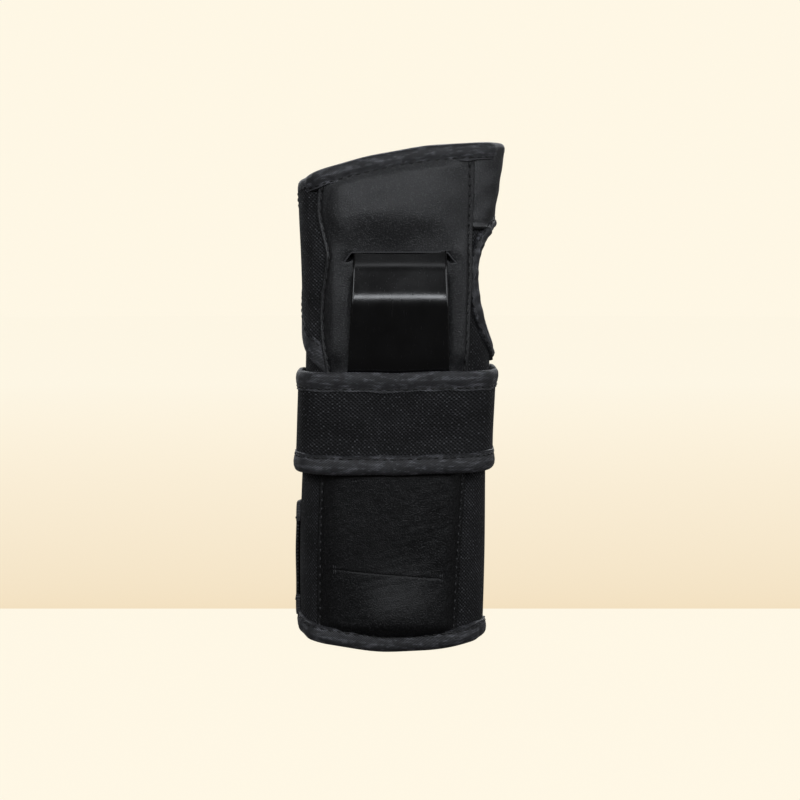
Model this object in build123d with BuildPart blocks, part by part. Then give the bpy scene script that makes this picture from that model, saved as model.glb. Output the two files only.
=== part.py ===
"""Wrist guard for skating and snowboarding, right hand, closed as it is worn.

The guard is a padded sleeve that stands on its cuff. +Z runs up the forearm to the fingers,
-Y is the palm side, +X is the thumb side and -X is the little-finger side, where it opens.
Every cloth layer is a shell between two offsets of the hand cavity, trimmed by a few zones.
All sizes are millimetres.
"""
import os

from build123d import *

# ---- Overall sizes -----------------------------------------------------------------------
LENGTH = 189.2  # from the cuff's rim to the top edge on the thumb side
WRIST_Z = 92.0  # narrowest level
REACH = 70.0  # half size of the trimming zones, well outside the guard

# Hand cavity at the cuff, the wrist and the knuckle end: half width, half depth, corner radius
CUFF_CAVITY = (30.4, 18.2, 12.6)
WRIST_CAVITY = (29.8, 17.2, 12.0)
HAND_CAVITY = (32.6, 15.7, 11.7)

# ---- Layer thicknesses -------------------------------------------------------------------
LINING_T = 0.8
FOAM_T = 3.2
MESH_T = 0.8
LEATHER_T = 1.0
LOOP_T = 1.4
HOOK_T = 1.0
STRAP_T = 1.5
BINDING_T = 0.6
PATCH_T = 0.6
SPLINT_T = 2.0
BACK_SPLINT_T = 1.6
POCKET_PLAY = 0.4  # how much thicker the palm padding is than the splint in its pocket
PAD_T = SPLINT_T + POCKET_PLAY

# ---- Clearances --------------------------------------------------------------------------
SEAM_GAP = 0.4  # between the halves and between strap segments that move
FACE_GAP = 0.3  # between hook and loop faces, and around the splints
TRIM_GAP = 0.2  # between pieces that are sewn edge to edge

# ---- Edges, seams and openings -----------------------------------------------------------
BINDING_W = 5.5  # visible width of the tape on the cuff and the top edge
STRAP_BINDING_W = 5.0
HOLE_BINDING_W = 4.0
PIPING_W = 1.6
HOOK_REACH_X = 20.0  # hook patches stay on the flat of the back
# x, z of the slanted top edge, from the little-finger side to the thumb side
TOP_EDGE = ((-43.0, LENGTH - 15.2), (0.0, LENGTH - 3.7), (43.0, LENGTH))
GUARD_TOP = LENGTH + 2.8  # loft height of the sleeve, just above its top edge
FLAP_EDGE_X = -28.0  # free edge of the back flap
THUMB_HOLE_Y = 1.0  # measured from the sleeve's middle plane
THUMB_HOLE_Z = 131.0
THUMB_HOLE_RY = 16.0
THUMB_HOLE_RZ = 22.0

# ---- Palm side ---------------------------------------------------------------------------
SPLINT_X = 2.0  # middle of the palm splint
SPLINT_W = 36.0
SPLINT_CORNER = 9.0
# z and standing-off distance of the splint's inner face, from its tip in the palm to its foot
SPLINT_SEAT = POCKET_PLAY / 2
SPLINT_LINE = (
    (172.0, SPLINT_SEAT),
    (149.0, SPLINT_SEAT),
    (133.5, 8.0),
    (108.0, 7.0),
    (82.0, SPLINT_SEAT),
    (24.0, SPLINT_SEAT),
)
SPLINT_BENDS = (6.0, 5.0, 24.0, 24.0)
SLOT_TOP_Z = 149.0
SLOT_CORNER_Z = 145.0
SLOT_FOOT_Z = 139.5
SLOT_FLARE = 2.5  # how far the slot's corners stand out past the splint
PALM_PANEL_X = (-27.4, 29.6)
PALM_PANEL_FOOT_Z = 97.0
FOREARM_PANEL_X = (-28.4, 24.6)
FOREARM_PANEL_TOP_Z = 80.0
SLIT_Z = 28.5  # slit for taking the splint out
SLIT_H = 0.8
SLIT_X = (-21.5, 18.0)
PAD_INSET = 2.5
PAD_TOP_INSET = 9.0
PAD_FOOT_Z = 9.0
THUMB_PATCH_FOOT_Z = 158.0
THUMB_PATCH_BACK_X = 20.6

# ---- Back flap ---------------------------------------------------------------------------
LOOP_X = (-25.8, 19.5)
LOOP_FOOT_Z = 7.0
LOOP_TOP_DROP = 8.0
BACK_SPLINT_W = 32.0
BACK_SPLINT_Z = (24.0, 150.0)
BACK_SPLINT_CORNER = 7.0

# ---- Straps ------------------------------------------------------------------------------
# Outline of each strap on the back: x, z points from its root round its tip
TOP_STRAP_OUTLINE = (
    (-60.0, TOP_EDGE[0][1] - 45.0),
    (-60.0, TOP_EDGE[0][1] - 5.5),
    (-30.0, TOP_EDGE[0][1] - 3.0),
    (0.0, TOP_EDGE[1][1] - 11.0),
    (24.0, TOP_EDGE[1][1] - 11.0),
    (24.0, TOP_EDGE[1][1] - 44.0),
)
TOP_STRAP_CORNER = 5.5
TOP_ANCHOR_OUTLINE = (
    (-60.0, TOP_EDGE[0][1] - 5.5),
    (-60.0, TOP_EDGE[0][1] - 45.0),
    (-34.5, 125.0),
    (-27.8, 113.0),
    (-27.8, TOP_EDGE[0][1] - 5.0),
)
BOTTOM_STRAP_OUTLINE = ((-60.0, 9.0), (-60.0, 53.0), (-22.0, 48.5), (28.5, 46.5), (28.5, 9.5))
BOTTOM_STRAP_CORNER = 9.0
BOTTOM_ANCHOR_OUTLINE = ((-60.0, 9.0), (-28.8, 9.0), (-28.8, 60.0), (-60.0, 53.0))
BAND_LOW_Z = 67.0
BAND_HIGH_Z = 105.0
BAND_TAPER = (1.0, 4.0, 3.0)  # how far the band's edges draw in: upper edge early, upper and lower at its tail
BAND_CORNER = 5.5
BAND_START_X = -34.3  # end of the band's sewn start on the little-finger side
BAND_OUTLINE = (
    (60.0, BAND_LOW_Z),
    (60.0, BAND_HIGH_Z),
    (-8.0, BAND_HIGH_Z - BAND_TAPER[0]),
    (-33.5, BAND_HIGH_Z - BAND_TAPER[1]),
    (-33.5, BAND_LOW_Z + BAND_TAPER[2]),
    (-8.0, BAND_LOW_Z),
)
BAND_PATCH_X = (-27.5, 22.6)
TOP_BEND_X = -11.0  # fold line between a strap's wrapped part and its pull tab
BOTTOM_BEND_X = -11.0
BAND_BEND_X = -5.0
BAND_FOLD_X = 23.4  # fold line where the middle strap leaves its turn round the thumb side

# ---- Offsets from the cavity that the stack of layers gives -------------------------------
FOAM_IN = LINING_T
FOAM_OUT = LINING_T + FOAM_T
BODY_OUT = FOAM_OUT + MESH_T
LOOP_OUT = BODY_OUT + LOOP_T
HOOK_IN = LOOP_OUT + FACE_GAP
STRAP_BACK = HOOK_IN + HOOK_T  # strap fabric over the back flap
STRAP_SIDE = BODY_OUT + FACE_GAP + BINDING_T  # strap fabric round the sides
PAD_OUT = BODY_OUT + PAD_T
LEATHER_OUT = PAD_OUT + LEATHER_T


def splint_stand_off(z):
    """Distance from the sleeve's surface to the splint's inner face at a height on its lower slope."""
    (high_z, high_off), (low_z, low_off) = SPLINT_LINE[3], SPLINT_LINE[4]
    share = (z - low_z) / (high_z - low_z)
    return low_off + max(share, 0.0) * (high_off - low_off)


# The band bulges over the splint at its upper edge and lies closer at its lower edge
BAND_PALM_HIGH = BODY_OUT + splint_stand_off(BAND_HIGH_Z) + SPLINT_T + FACE_GAP + BINDING_T + 0.8
BAND_PALM_LOW = LEATHER_OUT + FACE_GAP + BINDING_T + 1.2

# The middle plane of the sleeve sits where the guard's front and back reach equally far
PALM_REACH = WRIST_CAVITY[1] + BAND_PALM_HIGH + STRAP_T + BINDING_T
BACK_REACH = WRIST_CAVITY[1] + STRAP_BACK + STRAP_T + BINDING_T
AXIS_Y = (PALM_REACH - BACK_REACH) / 2


def cavity_at(z):
    """Half width, half depth and corner radius of the hand cavity at a height."""
    if z <= WRIST_Z:
        low, high, share = CUFF_CAVITY, WRIST_CAVITY, z / WRIST_Z
    else:
        low, high, share = WRIST_CAVITY, HAND_CAVITY, (z - WRIST_Z) / (GUARD_TOP - WRIST_Z)
    return [a + (b - a) * share for a, b in zip(low, high)]


def tube(side, palm=None, back=None, levels=(0.0, WRIST_Z, GUARD_TOP)):
    """Solid inside one offset of the cavity. palm may hold one offset for each level."""
    palm = side if palm is None else palm
    back = side if back is None else back
    palms = palm if isinstance(palm, tuple) else (palm,) * len(levels)
    with BuildPart() as solid:
        for z, front in zip(levels, palms):
            half_width, half_depth, corner = cavity_at(z)
            with BuildSketch(Plane.XY.offset(z)):
                with Locations((0, AXIS_Y + (back - front) / 2)):
                    RectangleRounded(2 * (half_width + side), 2 * half_depth + front + back, corner + side)
        loft(ruled=True)
    return solid.part


def shell(inner, outer, **where):
    """Layer between two offsets. Each is one number, or (side, palm, back)."""
    inner = inner if isinstance(inner, tuple) else (inner,)
    outer = outer if isinstance(outer, tuple) else (outer,)
    with BuildPart() as layer:
        add(tube(*outer, **where))
        add(tube(*inner, **where), mode=Mode.SUBTRACT)
    return layer.part


def prism(outline, low_y, high_y, corners=(), radius=0.0, inset=0.0):
    """Outline in x and z, run through the guard from low_y to high_y."""
    with BuildPart() as solid:
        with BuildSketch(Plane.XZ.offset(-high_y)) as face:
            with BuildLine():
                Polyline(*outline, close=True)
            make_face()
            rounded = [face.vertices().sort_by_distance(Vector(x, z))[0] for x, z in corners]
            if rounded:
                fillet(rounded, radius)
            if inset:
                offset(amount=-inset, mode=Mode.REPLACE)
        extrude(amount=high_y - low_y)
    return solid.part


def palm_window(outline, **rounding):
    """Prism that reaches only the palm half."""
    return prism(outline, -REACH, AXIS_Y - SEAM_GAP / 2, **rounding)


def back_window(outline, **rounding):
    """Prism that reaches only the back half."""
    return prism(outline, AXIS_Y + SEAM_GAP / 2, REACH, **rounding)


def box_outline(low_x, high_x, low_z, high_z):
    """Rectangle in x and z."""
    return ((low_x, low_z), (low_x, high_z), (high_x, high_z), (high_x, low_z))


def under_top_edge(drop):
    """Everything below the slanted top edge, lowered by drop."""
    start, middle, end = [(x, z - drop) for x, z in TOP_EDGE]
    with BuildPart() as zone:
        with BuildSketch(Plane.XZ):
            with BuildLine():
                edge = ThreePointArc(start, middle, end)
                Polyline(edge @ 1, (REACH, end[1]), (REACH, -REACH), (-REACH, -REACH), (-REACH, start[1]), edge @ 0)
            make_face()
        extrude(amount=REACH, both=True)
    return zone.part


def thumb_opening(grow):
    """Oval prism through the thumb side, grown outwards."""
    with BuildPart() as zone:
        with BuildSketch(Plane.YZ.offset(PALM_PANEL_X[1] / 2)):
            with Locations((AXIS_Y + THUMB_HOLE_Y, THUMB_HOLE_Z)):
                Ellipse(THUMB_HOLE_RY + grow, THUMB_HOLE_RZ + grow)
        extrude(amount=REACH)
    return zone.part


def still_zone(short=0.0):
    """What stays still: the palm half and its turn round the little-finger side, cut short at its edge."""
    with BuildPart() as zone:
        with BuildSketch():
            with Locations((0, AXIS_Y - SEAM_GAP / 2)):
                Rectangle(2 * REACH, 2 * REACH, align=(Align.CENTER, Align.MAX))
            with Locations((FLAP_EDGE_X - SEAM_GAP - short, 0)):
                Rectangle(2 * REACH, 2 * REACH, align=(Align.MAX, Align.CENTER))
        extrude(amount=GUARD_TOP)
    return zone.part


def flap_zone(short=0.0):
    """What swings with the back flap, cut short at its free edge."""
    with BuildPart() as zone:
        with BuildSketch():
            with Locations((FLAP_EDGE_X + short, AXIS_Y + SEAM_GAP / 2)):
                Rectangle(2 * REACH, 2 * REACH, align=(Align.MIN, Align.MIN))
        extrude(amount=GUARD_TOP)
    return zone.part


STILL = still_zone()
STILL_CLOTH = still_zone(PIPING_W)
FLAP = flap_zone()
FLAP_CLOTH = flap_zone(PIPING_W)
OPEN_TOP = (WRIST_Z, GUARD_TOP)


def body_layer(inner, outer, zone):
    """One cloth or foam layer of the sleeve, trimmed by its zone, its top edge and the thumb hole."""
    with BuildPart() as layer:
        add(shell(inner, outer, levels=(BINDING_T, WRIST_Z, GUARD_TOP)))
        add(zone, mode=Mode.INTERSECT)
        add(under_top_edge(BINDING_T), mode=Mode.INTERSECT)
        add(thumb_opening(0), mode=Mode.SUBTRACT)
    return layer.part


def cuff_tape(zone):
    """Folded tape round the cuff: it stands on the ground and grips the raw edge of every layer."""
    with BuildPart() as tape:
        add(shell(-BINDING_T, BODY_OUT + BINDING_T, levels=(0.0, BINDING_W)))
        add(shell(0.0, BODY_OUT, levels=(BINDING_T, BINDING_W)), mode=Mode.SUBTRACT)
        add(zone, mode=Mode.INTERSECT)
    return tape.part


def top_tape(zone):
    """Folded tape along the slanted top edge."""
    gripped = shell(0.0, BODY_OUT, levels=OPEN_TOP) & under_top_edge(BINDING_T)
    with BuildPart() as tape:
        add(shell(-BINDING_T, BODY_OUT + BINDING_T, levels=OPEN_TOP))
        add(under_top_edge(BINDING_W), mode=Mode.SUBTRACT)
        add(under_top_edge(0), mode=Mode.INTERSECT)
        add(gripped, mode=Mode.SUBTRACT)
        add(zone, mode=Mode.INTERSECT)
    return tape.part


def hole_tape(zone):
    """Folded tape round the thumb hole."""
    gripped = shell(0.0, BODY_OUT, levels=OPEN_TOP) - thumb_opening(0)
    with BuildPart() as tape:
        add(shell(-BINDING_T, BODY_OUT + BINDING_T, levels=OPEN_TOP))
        add(thumb_opening(HOLE_BINDING_W), mode=Mode.INTERSECT)
        add(thumb_opening(-BINDING_T), mode=Mode.SUBTRACT)
        add(gripped, mode=Mode.SUBTRACT)
        add(zone, mode=Mode.INTERSECT)
    return tape.part


def edge_piping(zone, low_x, high_x):
    """Narrow piping along one edge of the opening, between the cuff tape and the top tape."""
    with BuildPart() as piping:
        add(shell(0.0, BODY_OUT + FACE_GAP))
        add(back_window(box_outline(low_x, high_x, BINDING_W, GUARD_TOP)), mode=Mode.INTERSECT)
        add(zone, mode=Mode.INTERSECT)
        add(under_top_edge(BINDING_W), mode=Mode.INTERSECT)
    return piping.part


def strap_cloth(inner, outer, window, **where):
    """Webbing of a strap, without its edge tape. The window is already drawn in by the tape's thickness."""
    with BuildPart() as cloth:
        add(shell(inner, outer, **where))
        add(window, mode=Mode.INTERSECT)
    return cloth.part


def grown(offsets, amount):
    """Offsets (side, palm, back) all moved out by an amount."""
    return tuple(tuple(v + amount for v in o) if isinstance(o, tuple) else o + amount for o in offsets)


def strap_tape(inner, outer, cloth, window, hollow, **where):
    """Folded tape round the edge of a strap's webbing."""
    with BuildPart() as tape:
        add(shell(grown(inner, -BINDING_T), grown(outer, BINDING_T), **where))
        add(window, mode=Mode.INTERSECT)
        add(hollow, mode=Mode.SUBTRACT)
        add(cloth, mode=Mode.SUBTRACT)
    return tape.part


def side_of(x, direction):
    """Everything on one side of a fold line, with half the seam gap left out."""
    edge = x + direction * SEAM_GAP / 2
    align = Align.MIN if direction > 0 else Align.MAX
    with BuildPart() as half:
        with Locations((edge, 0, GUARD_TOP / 2)):
            Box(2 * REACH, 2 * REACH, 2 * GUARD_TOP, align=(align, Align.CENTER, Align.CENTER))
    return half.part


# ---- Sleeve, palm half: lining, foam and mesh, which turn round the little-finger side ----
with BuildPart() as palm_lining:
    add(body_layer(0.0, FOAM_IN, STILL_CLOTH))

with BuildPart() as palm_foam:
    add(body_layer(FOAM_IN, FOAM_OUT, STILL_CLOTH))

with BuildPart() as palm_mesh:
    add(body_layer(FOAM_OUT, BODY_OUT, STILL_CLOTH))

with BuildPart() as palm_cuff_binding:
    add(cuff_tape(STILL))

with BuildPart() as palm_top_binding:
    add(top_tape(STILL))

with BuildPart() as palm_thumb_binding:
    add(hole_tape(STILL))

with BuildPart() as opening_piping:
    add(edge_piping(STILL, FLAP_EDGE_X - SEAM_GAP - PIPING_W, FLAP_EDGE_X - SEAM_GAP))

# ---- Palm splint: one bent plate with a bridge that stands off the heel of the hand -------
with BuildPart() as palm_splint:
    with BuildSketch(Plane.YZ.offset(SPLINT_X)):
        with BuildLine():
            spine = [(AXIS_Y - cavity_at(z)[1] - BODY_OUT - off, z) for z, off in SPLINT_LINE]
            face_line = FilletPolyline(*spine, radius=SPLINT_BENDS)
            offset(face_line, amount=SPLINT_T, side=Side.RIGHT, mode=Mode.ADD)
        make_face()
    extrude(amount=SPLINT_W / 2, both=True)
    corners = palm_splint.edges().filter_by(lambda edge: abs(edge.length - SPLINT_T) < 0.01).sort_by(Axis.Z)
    fillet(corners[:2] + corners[-2:], SPLINT_CORNER)

# ---- Palm half: padding and leather --------------------------------------------------------
CHANNEL_X = (SPLINT_X - SPLINT_W / 2 - FACE_GAP, SPLINT_X + SPLINT_W / 2 + FACE_GAP)
CHANNEL_HIGH = (SLOT_FOOT_Z, SPLINT_LINE[0][0] + FACE_GAP)
CHANNEL_LOW = (SPLINT_LINE[-1][0] - FACE_GAP, REACH + WRIST_Z)
SLOT_SIDE_X = (CHANNEL_X[0] - SLOT_FLARE, CHANNEL_X[1] + SLOT_FLARE)

with BuildPart() as palm_pad:
    add(shell(BODY_OUT, PAD_OUT))
    pad_x = (PALM_PANEL_X[0] + PAD_INSET, PALM_PANEL_X[1] - PAD_INSET)
    add(palm_window(box_outline(*pad_x, PALM_PANEL_FOOT_Z + PAD_INSET, GUARD_TOP)), mode=Mode.INTERSECT)
    add(under_top_edge(PAD_TOP_INSET), mode=Mode.INTERSECT)
    add(palm_window(box_outline(*CHANNEL_X, *CHANNEL_HIGH)), mode=Mode.SUBTRACT)
    add(thumb_opening(HOLE_BINDING_W + TRIM_GAP), mode=Mode.SUBTRACT)

with BuildPart() as palm_panel:
    add(shell(PAD_OUT, LEATHER_OUT))
    add(palm_window(box_outline(*PALM_PANEL_X, PALM_PANEL_FOOT_Z, GUARD_TOP)), mode=Mode.INTERSECT)
    add(under_top_edge(BINDING_W + TRIM_GAP), mode=Mode.INTERSECT)
    slot = (
        (SLOT_SIDE_X[0], SLOT_FOOT_Z),
        (SLOT_SIDE_X[0], SLOT_CORNER_Z),
        (CHANNEL_X[0], SLOT_TOP_Z),
        (CHANNEL_X[1], SLOT_TOP_Z),
        (SLOT_SIDE_X[1], SLOT_CORNER_Z),
        (SLOT_SIDE_X[1], SLOT_FOOT_Z),
    )
    add(palm_window(slot), mode=Mode.SUBTRACT)
    add(thumb_opening(HOLE_BINDING_W + TRIM_GAP), mode=Mode.SUBTRACT)

with BuildPart() as forearm_pad:
    add(shell(BODY_OUT, PAD_OUT))
    pad_x = (FOREARM_PANEL_X[0] + PAD_INSET, FOREARM_PANEL_X[1] - TRIM_GAP)
    add(palm_window(box_outline(*pad_x, PAD_FOOT_Z, FOREARM_PANEL_TOP_Z - PAD_INSET)), mode=Mode.INTERSECT)
    add(palm_window(box_outline(*CHANNEL_X, *CHANNEL_LOW)), mode=Mode.SUBTRACT)

with BuildPart() as forearm_panel:
    add(shell(PAD_OUT, LEATHER_OUT))
    panel = box_outline(*FOREARM_PANEL_X, BINDING_W + TRIM_GAP, FOREARM_PANEL_TOP_Z)
    add(palm_window(panel), mode=Mode.INTERSECT)
    add(palm_window(box_outline(*SLIT_X, SLIT_Z, SLIT_Z + SLIT_H)), mode=Mode.SUBTRACT)

with BuildPart() as thumb_patch_palm:
    add(shell(BODY_OUT, BODY_OUT + LEATHER_T, levels=OPEN_TOP))
    patch = box_outline(PALM_PANEL_X[1] + TRIM_GAP, REACH, THUMB_PATCH_FOOT_Z, GUARD_TOP)
    add(palm_window(patch), mode=Mode.INTERSECT)
    add(under_top_edge(BINDING_W + TRIM_GAP), mode=Mode.INTERSECT)
    add(thumb_opening(HOLE_BINDING_W + TRIM_GAP), mode=Mode.SUBTRACT)

# ---- Back flap -----------------------------------------------------------------------------
BACK_SPLINT_OUTLINE = box_outline(-BACK_SPLINT_W / 2, BACK_SPLINT_W / 2, *BACK_SPLINT_Z)
POCKET_OUTLINE = box_outline(
    -BACK_SPLINT_W / 2 - FACE_GAP,
    BACK_SPLINT_W / 2 + FACE_GAP,
    BACK_SPLINT_Z[0] - FACE_GAP,
    BACK_SPLINT_Z[1] + FACE_GAP,
)

with BuildPart() as back_lining:
    add(body_layer(0.0, FOAM_IN, FLAP_CLOTH))

with BuildPart() as back_foam:
    add(body_layer(FOAM_IN, FOAM_OUT, FLAP_CLOTH))
    add(
        shell(FOAM_OUT - BACK_SPLINT_T, FOAM_OUT) & back_window(POCKET_OUTLINE),
        mode=Mode.SUBTRACT,
    )

with BuildPart() as back_splint:
    add(shell(FOAM_OUT - BACK_SPLINT_T, FOAM_OUT))
    add(
        back_window(BACK_SPLINT_OUTLINE, corners=BACK_SPLINT_OUTLINE, radius=BACK_SPLINT_CORNER),
        mode=Mode.INTERSECT,
    )

with BuildPart() as back_mesh:
    add(body_layer(FOAM_OUT, BODY_OUT, FLAP_CLOTH))

with BuildPart() as loop_panel:
    add(shell(BODY_OUT, LOOP_OUT))
    add(back_window(box_outline(*LOOP_X, LOOP_FOOT_Z, GUARD_TOP)), mode=Mode.INTERSECT)
    add(under_top_edge(LOOP_TOP_DROP), mode=Mode.INTERSECT)

with BuildPart() as back_cuff_binding:
    add(cuff_tape(FLAP))

with BuildPart() as back_top_binding:
    add(top_tape(FLAP))

with BuildPart() as back_thumb_binding:
    add(hole_tape(FLAP))

with BuildPart() as flap_piping:
    add(edge_piping(FLAP, FLAP_EDGE_X, FLAP_EDGE_X + PIPING_W))

with BuildPart() as thumb_patch_back:
    add(shell(BODY_OUT, BODY_OUT + LEATHER_T, levels=OPEN_TOP))
    patch = box_outline(THUMB_PATCH_BACK_X, REACH, THUMB_PATCH_FOOT_Z, GUARD_TOP)
    add(back_window(patch), mode=Mode.INTERSECT)
    add(under_top_edge(BINDING_W + TRIM_GAP), mode=Mode.INTERSECT)
    add(thumb_opening(HOLE_BINDING_W + TRIM_GAP), mode=Mode.SUBTRACT)

# ---- Straps: webbing, edge tape and hook patch, each split where it folds -----------------
WEBBING_IN = (STRAP_SIDE, STRAP_SIDE, STRAP_BACK)
WEBBING_OUT = grown(WEBBING_IN, STRAP_T)
TOP_TIP = TOP_STRAP_OUTLINE[-2:]
BOTTOM_TIP = BOTTOM_STRAP_OUTLINE[-2:]
BAND_TAIL = BAND_OUTLINE[3:5]


def strap_windows(outline, tip, radius):
    """Windows of a strap: its outer edge, its webbing and the part that the tape leaves open."""
    edge = back_window(outline, corners=tip, radius=radius)
    cloth = back_window(outline, corners=tip, radius=radius, inset=BINDING_T)
    hollow = back_window(outline, corners=tip, radius=radius, inset=STRAP_BINDING_W)
    return edge, cloth, hollow


top_windows = strap_windows(TOP_STRAP_OUTLINE, TOP_TIP, TOP_STRAP_CORNER)
bottom_windows = strap_windows(BOTTOM_STRAP_OUTLINE, BOTTOM_TIP, BOTTOM_STRAP_CORNER)
band_windows = strap_windows(BAND_OUTLINE, BAND_TAIL, BAND_CORNER)

hook_flat = back_window(box_outline(-HOOK_REACH_X, HOOK_REACH_X, 0.0, GUARD_TOP))

with BuildPart() as top_strap_anchor:
    add(shell(BODY_OUT, BODY_OUT + STRAP_T))
    add(palm_window(TOP_ANCHOR_OUTLINE), mode=Mode.INTERSECT)

with BuildPart() as top_strap_root:
    add(strap_cloth(WEBBING_IN, WEBBING_OUT, top_windows[1]))
    add(side_of(TOP_BEND_X, -1), mode=Mode.INTERSECT)

with BuildPart() as top_strap_root_binding:
    add(strap_tape(WEBBING_IN, WEBBING_OUT, top_strap_root.part, top_windows[0], top_windows[2]))
    add(side_of(TOP_BEND_X, -1), mode=Mode.INTERSECT)

with BuildPart() as top_strap_tab:
    add(strap_cloth(WEBBING_IN, WEBBING_OUT, top_windows[1]))
    add(side_of(TOP_BEND_X, 1), mode=Mode.INTERSECT)

with BuildPart() as top_strap_tab_binding:
    add(strap_tape(WEBBING_IN, WEBBING_OUT, top_strap_tab.part, top_windows[0], top_windows[2]))
    add(side_of(TOP_BEND_X, 1), mode=Mode.INTERSECT)

with BuildPart() as top_strap_hook:
    add(shell(HOOK_IN, STRAP_BACK) & top_windows[2])
    add(hook_flat, mode=Mode.INTERSECT)
    add(side_of(TOP_BEND_X, 1), mode=Mode.INTERSECT)

with BuildPart() as bottom_strap_anchor:
    add(shell(BODY_OUT, BODY_OUT + STRAP_T))
    add(palm_window(BOTTOM_ANCHOR_OUTLINE), mode=Mode.INTERSECT)

with BuildPart() as bottom_strap_root:
    add(strap_cloth(WEBBING_IN, WEBBING_OUT, bottom_windows[1]))
    add(side_of(BOTTOM_BEND_X, -1), mode=Mode.INTERSECT)

with BuildPart() as bottom_strap_root_binding:
    add(strap_tape(WEBBING_IN, WEBBING_OUT, bottom_strap_root.part, bottom_windows[0], bottom_windows[2]))
    add(side_of(BOTTOM_BEND_X, -1), mode=Mode.INTERSECT)

with BuildPart() as bottom_strap_tab:
    add(strap_cloth(WEBBING_IN, WEBBING_OUT, bottom_windows[1]))
    add(side_of(BOTTOM_BEND_X, 1), mode=Mode.INTERSECT)

with BuildPart() as bottom_strap_tab_binding:
    add(strap_tape(WEBBING_IN, WEBBING_OUT, bottom_strap_tab.part, bottom_windows[0], bottom_windows[2]))
    add(side_of(BOTTOM_BEND_X, 1), mode=Mode.INTERSECT)

with BuildPart() as bottom_strap_hook:
    add(shell(HOOK_IN, STRAP_BACK) & bottom_windows[2])
    add(hook_flat, mode=Mode.INTERSECT)
    add(side_of(BOTTOM_BEND_X, 1), mode=Mode.INTERSECT)

# ---- Middle strap: a band sewn to the palm half that bridges the splint and turns the thumb side
BAND_LEVELS = (BAND_LOW_Z, BAND_HIGH_Z)
BAND_IN = (STRAP_SIDE, (BAND_PALM_LOW, BAND_PALM_HIGH), STRAP_BACK)
BAND_OUT = grown(BAND_IN, STRAP_T)


def band_window(inset):
    """The whole band on the palm side, with its sewn start round the little-finger side."""
    with BuildPart() as zone:
        add(prism(box_outline(-REACH, REACH, BAND_LOW_Z + inset, BAND_HIGH_Z - inset), -REACH, REACH))
        with BuildPart(mode=Mode.PRIVATE) as still:
            with BuildSketch():
                with Locations((0, AXIS_Y - SEAM_GAP / 2)):
                    Rectangle(2 * REACH, 2 * REACH, align=(Align.CENTER, Align.MAX))
                with Locations((BAND_START_X - inset, 0)):
                    Rectangle(2 * REACH, 2 * REACH, align=(Align.MAX, Align.CENTER))
            extrude(amount=GUARD_TOP)
        add(still.part, mode=Mode.INTERSECT)
    return zone.part


with BuildPart() as palm_band:
    add(strap_cloth(BAND_IN, BAND_OUT, band_window(BINDING_T), levels=BAND_LEVELS))

with BuildPart() as palm_band_binding:
    add(
        strap_tape(
            BAND_IN,
            BAND_OUT,
            palm_band.part,
            band_window(0),
            band_window(STRAP_BINDING_W),
            levels=BAND_LEVELS,
        )
    )

with BuildPart() as middle_strap_turn:
    add(strap_cloth(WEBBING_IN, WEBBING_OUT, band_windows[1]))
    add(side_of(BAND_FOLD_X, 1), mode=Mode.INTERSECT)

with BuildPart() as middle_strap_turn_binding:
    add(strap_tape(WEBBING_IN, WEBBING_OUT, middle_strap_turn.part, band_windows[0], band_windows[2]))
    add(side_of(BAND_FOLD_X, 1), mode=Mode.INTERSECT)

with BuildPart() as middle_strap:
    add(strap_cloth(WEBBING_IN, WEBBING_OUT, band_windows[1]))
    add(side_of(BAND_FOLD_X, -1), mode=Mode.INTERSECT)
    add(side_of(BAND_BEND_X, 1), mode=Mode.INTERSECT)

with BuildPart() as middle_strap_binding:
    add(strap_tape(WEBBING_IN, WEBBING_OUT, middle_strap.part, band_windows[0], band_windows[2]))
    add(side_of(BAND_FOLD_X, -1), mode=Mode.INTERSECT)
    add(side_of(BAND_BEND_X, 1), mode=Mode.INTERSECT)

with BuildPart() as middle_strap_tab:
    add(strap_cloth(WEBBING_IN, WEBBING_OUT, band_windows[1]))
    add(side_of(BAND_BEND_X, -1), mode=Mode.INTERSECT)

with BuildPart() as middle_strap_tab_binding:
    add(strap_tape(WEBBING_IN, WEBBING_OUT, middle_strap_tab.part, band_windows[0], band_windows[2]))
    add(side_of(BAND_BEND_X, -1), mode=Mode.INTERSECT)

with BuildPart() as middle_strap_hook:
    add(shell(HOOK_IN, STRAP_BACK) & band_windows[2])
    add(hook_flat, mode=Mode.INTERSECT)
    add(side_of(BAND_BEND_X, -1), mode=Mode.INTERSECT)

# The sewn patch on the band's face, made in two so that the tab can peel
PATCH_OUT = grown(WEBBING_OUT, PATCH_T)
patch_window = back_window(
    box_outline(*BAND_PATCH_X, BAND_LOW_Z + STRAP_BINDING_W + TRIM_GAP, BAND_TAIL[0][1] - STRAP_BINDING_W / 2)
)

with BuildPart() as middle_patch:
    add(shell(WEBBING_OUT, PATCH_OUT) & band_windows[2])
    add(patch_window, mode=Mode.INTERSECT)
    add(side_of(BAND_BEND_X, 1), mode=Mode.INTERSECT)

with BuildPart() as middle_patch_tab:
    add(shell(WEBBING_OUT, PATCH_OUT) & band_windows[2])
    add(patch_window, mode=Mode.INTERSECT)
    add(side_of(BAND_BEND_X, -1), mode=Mode.INTERSECT)

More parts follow.
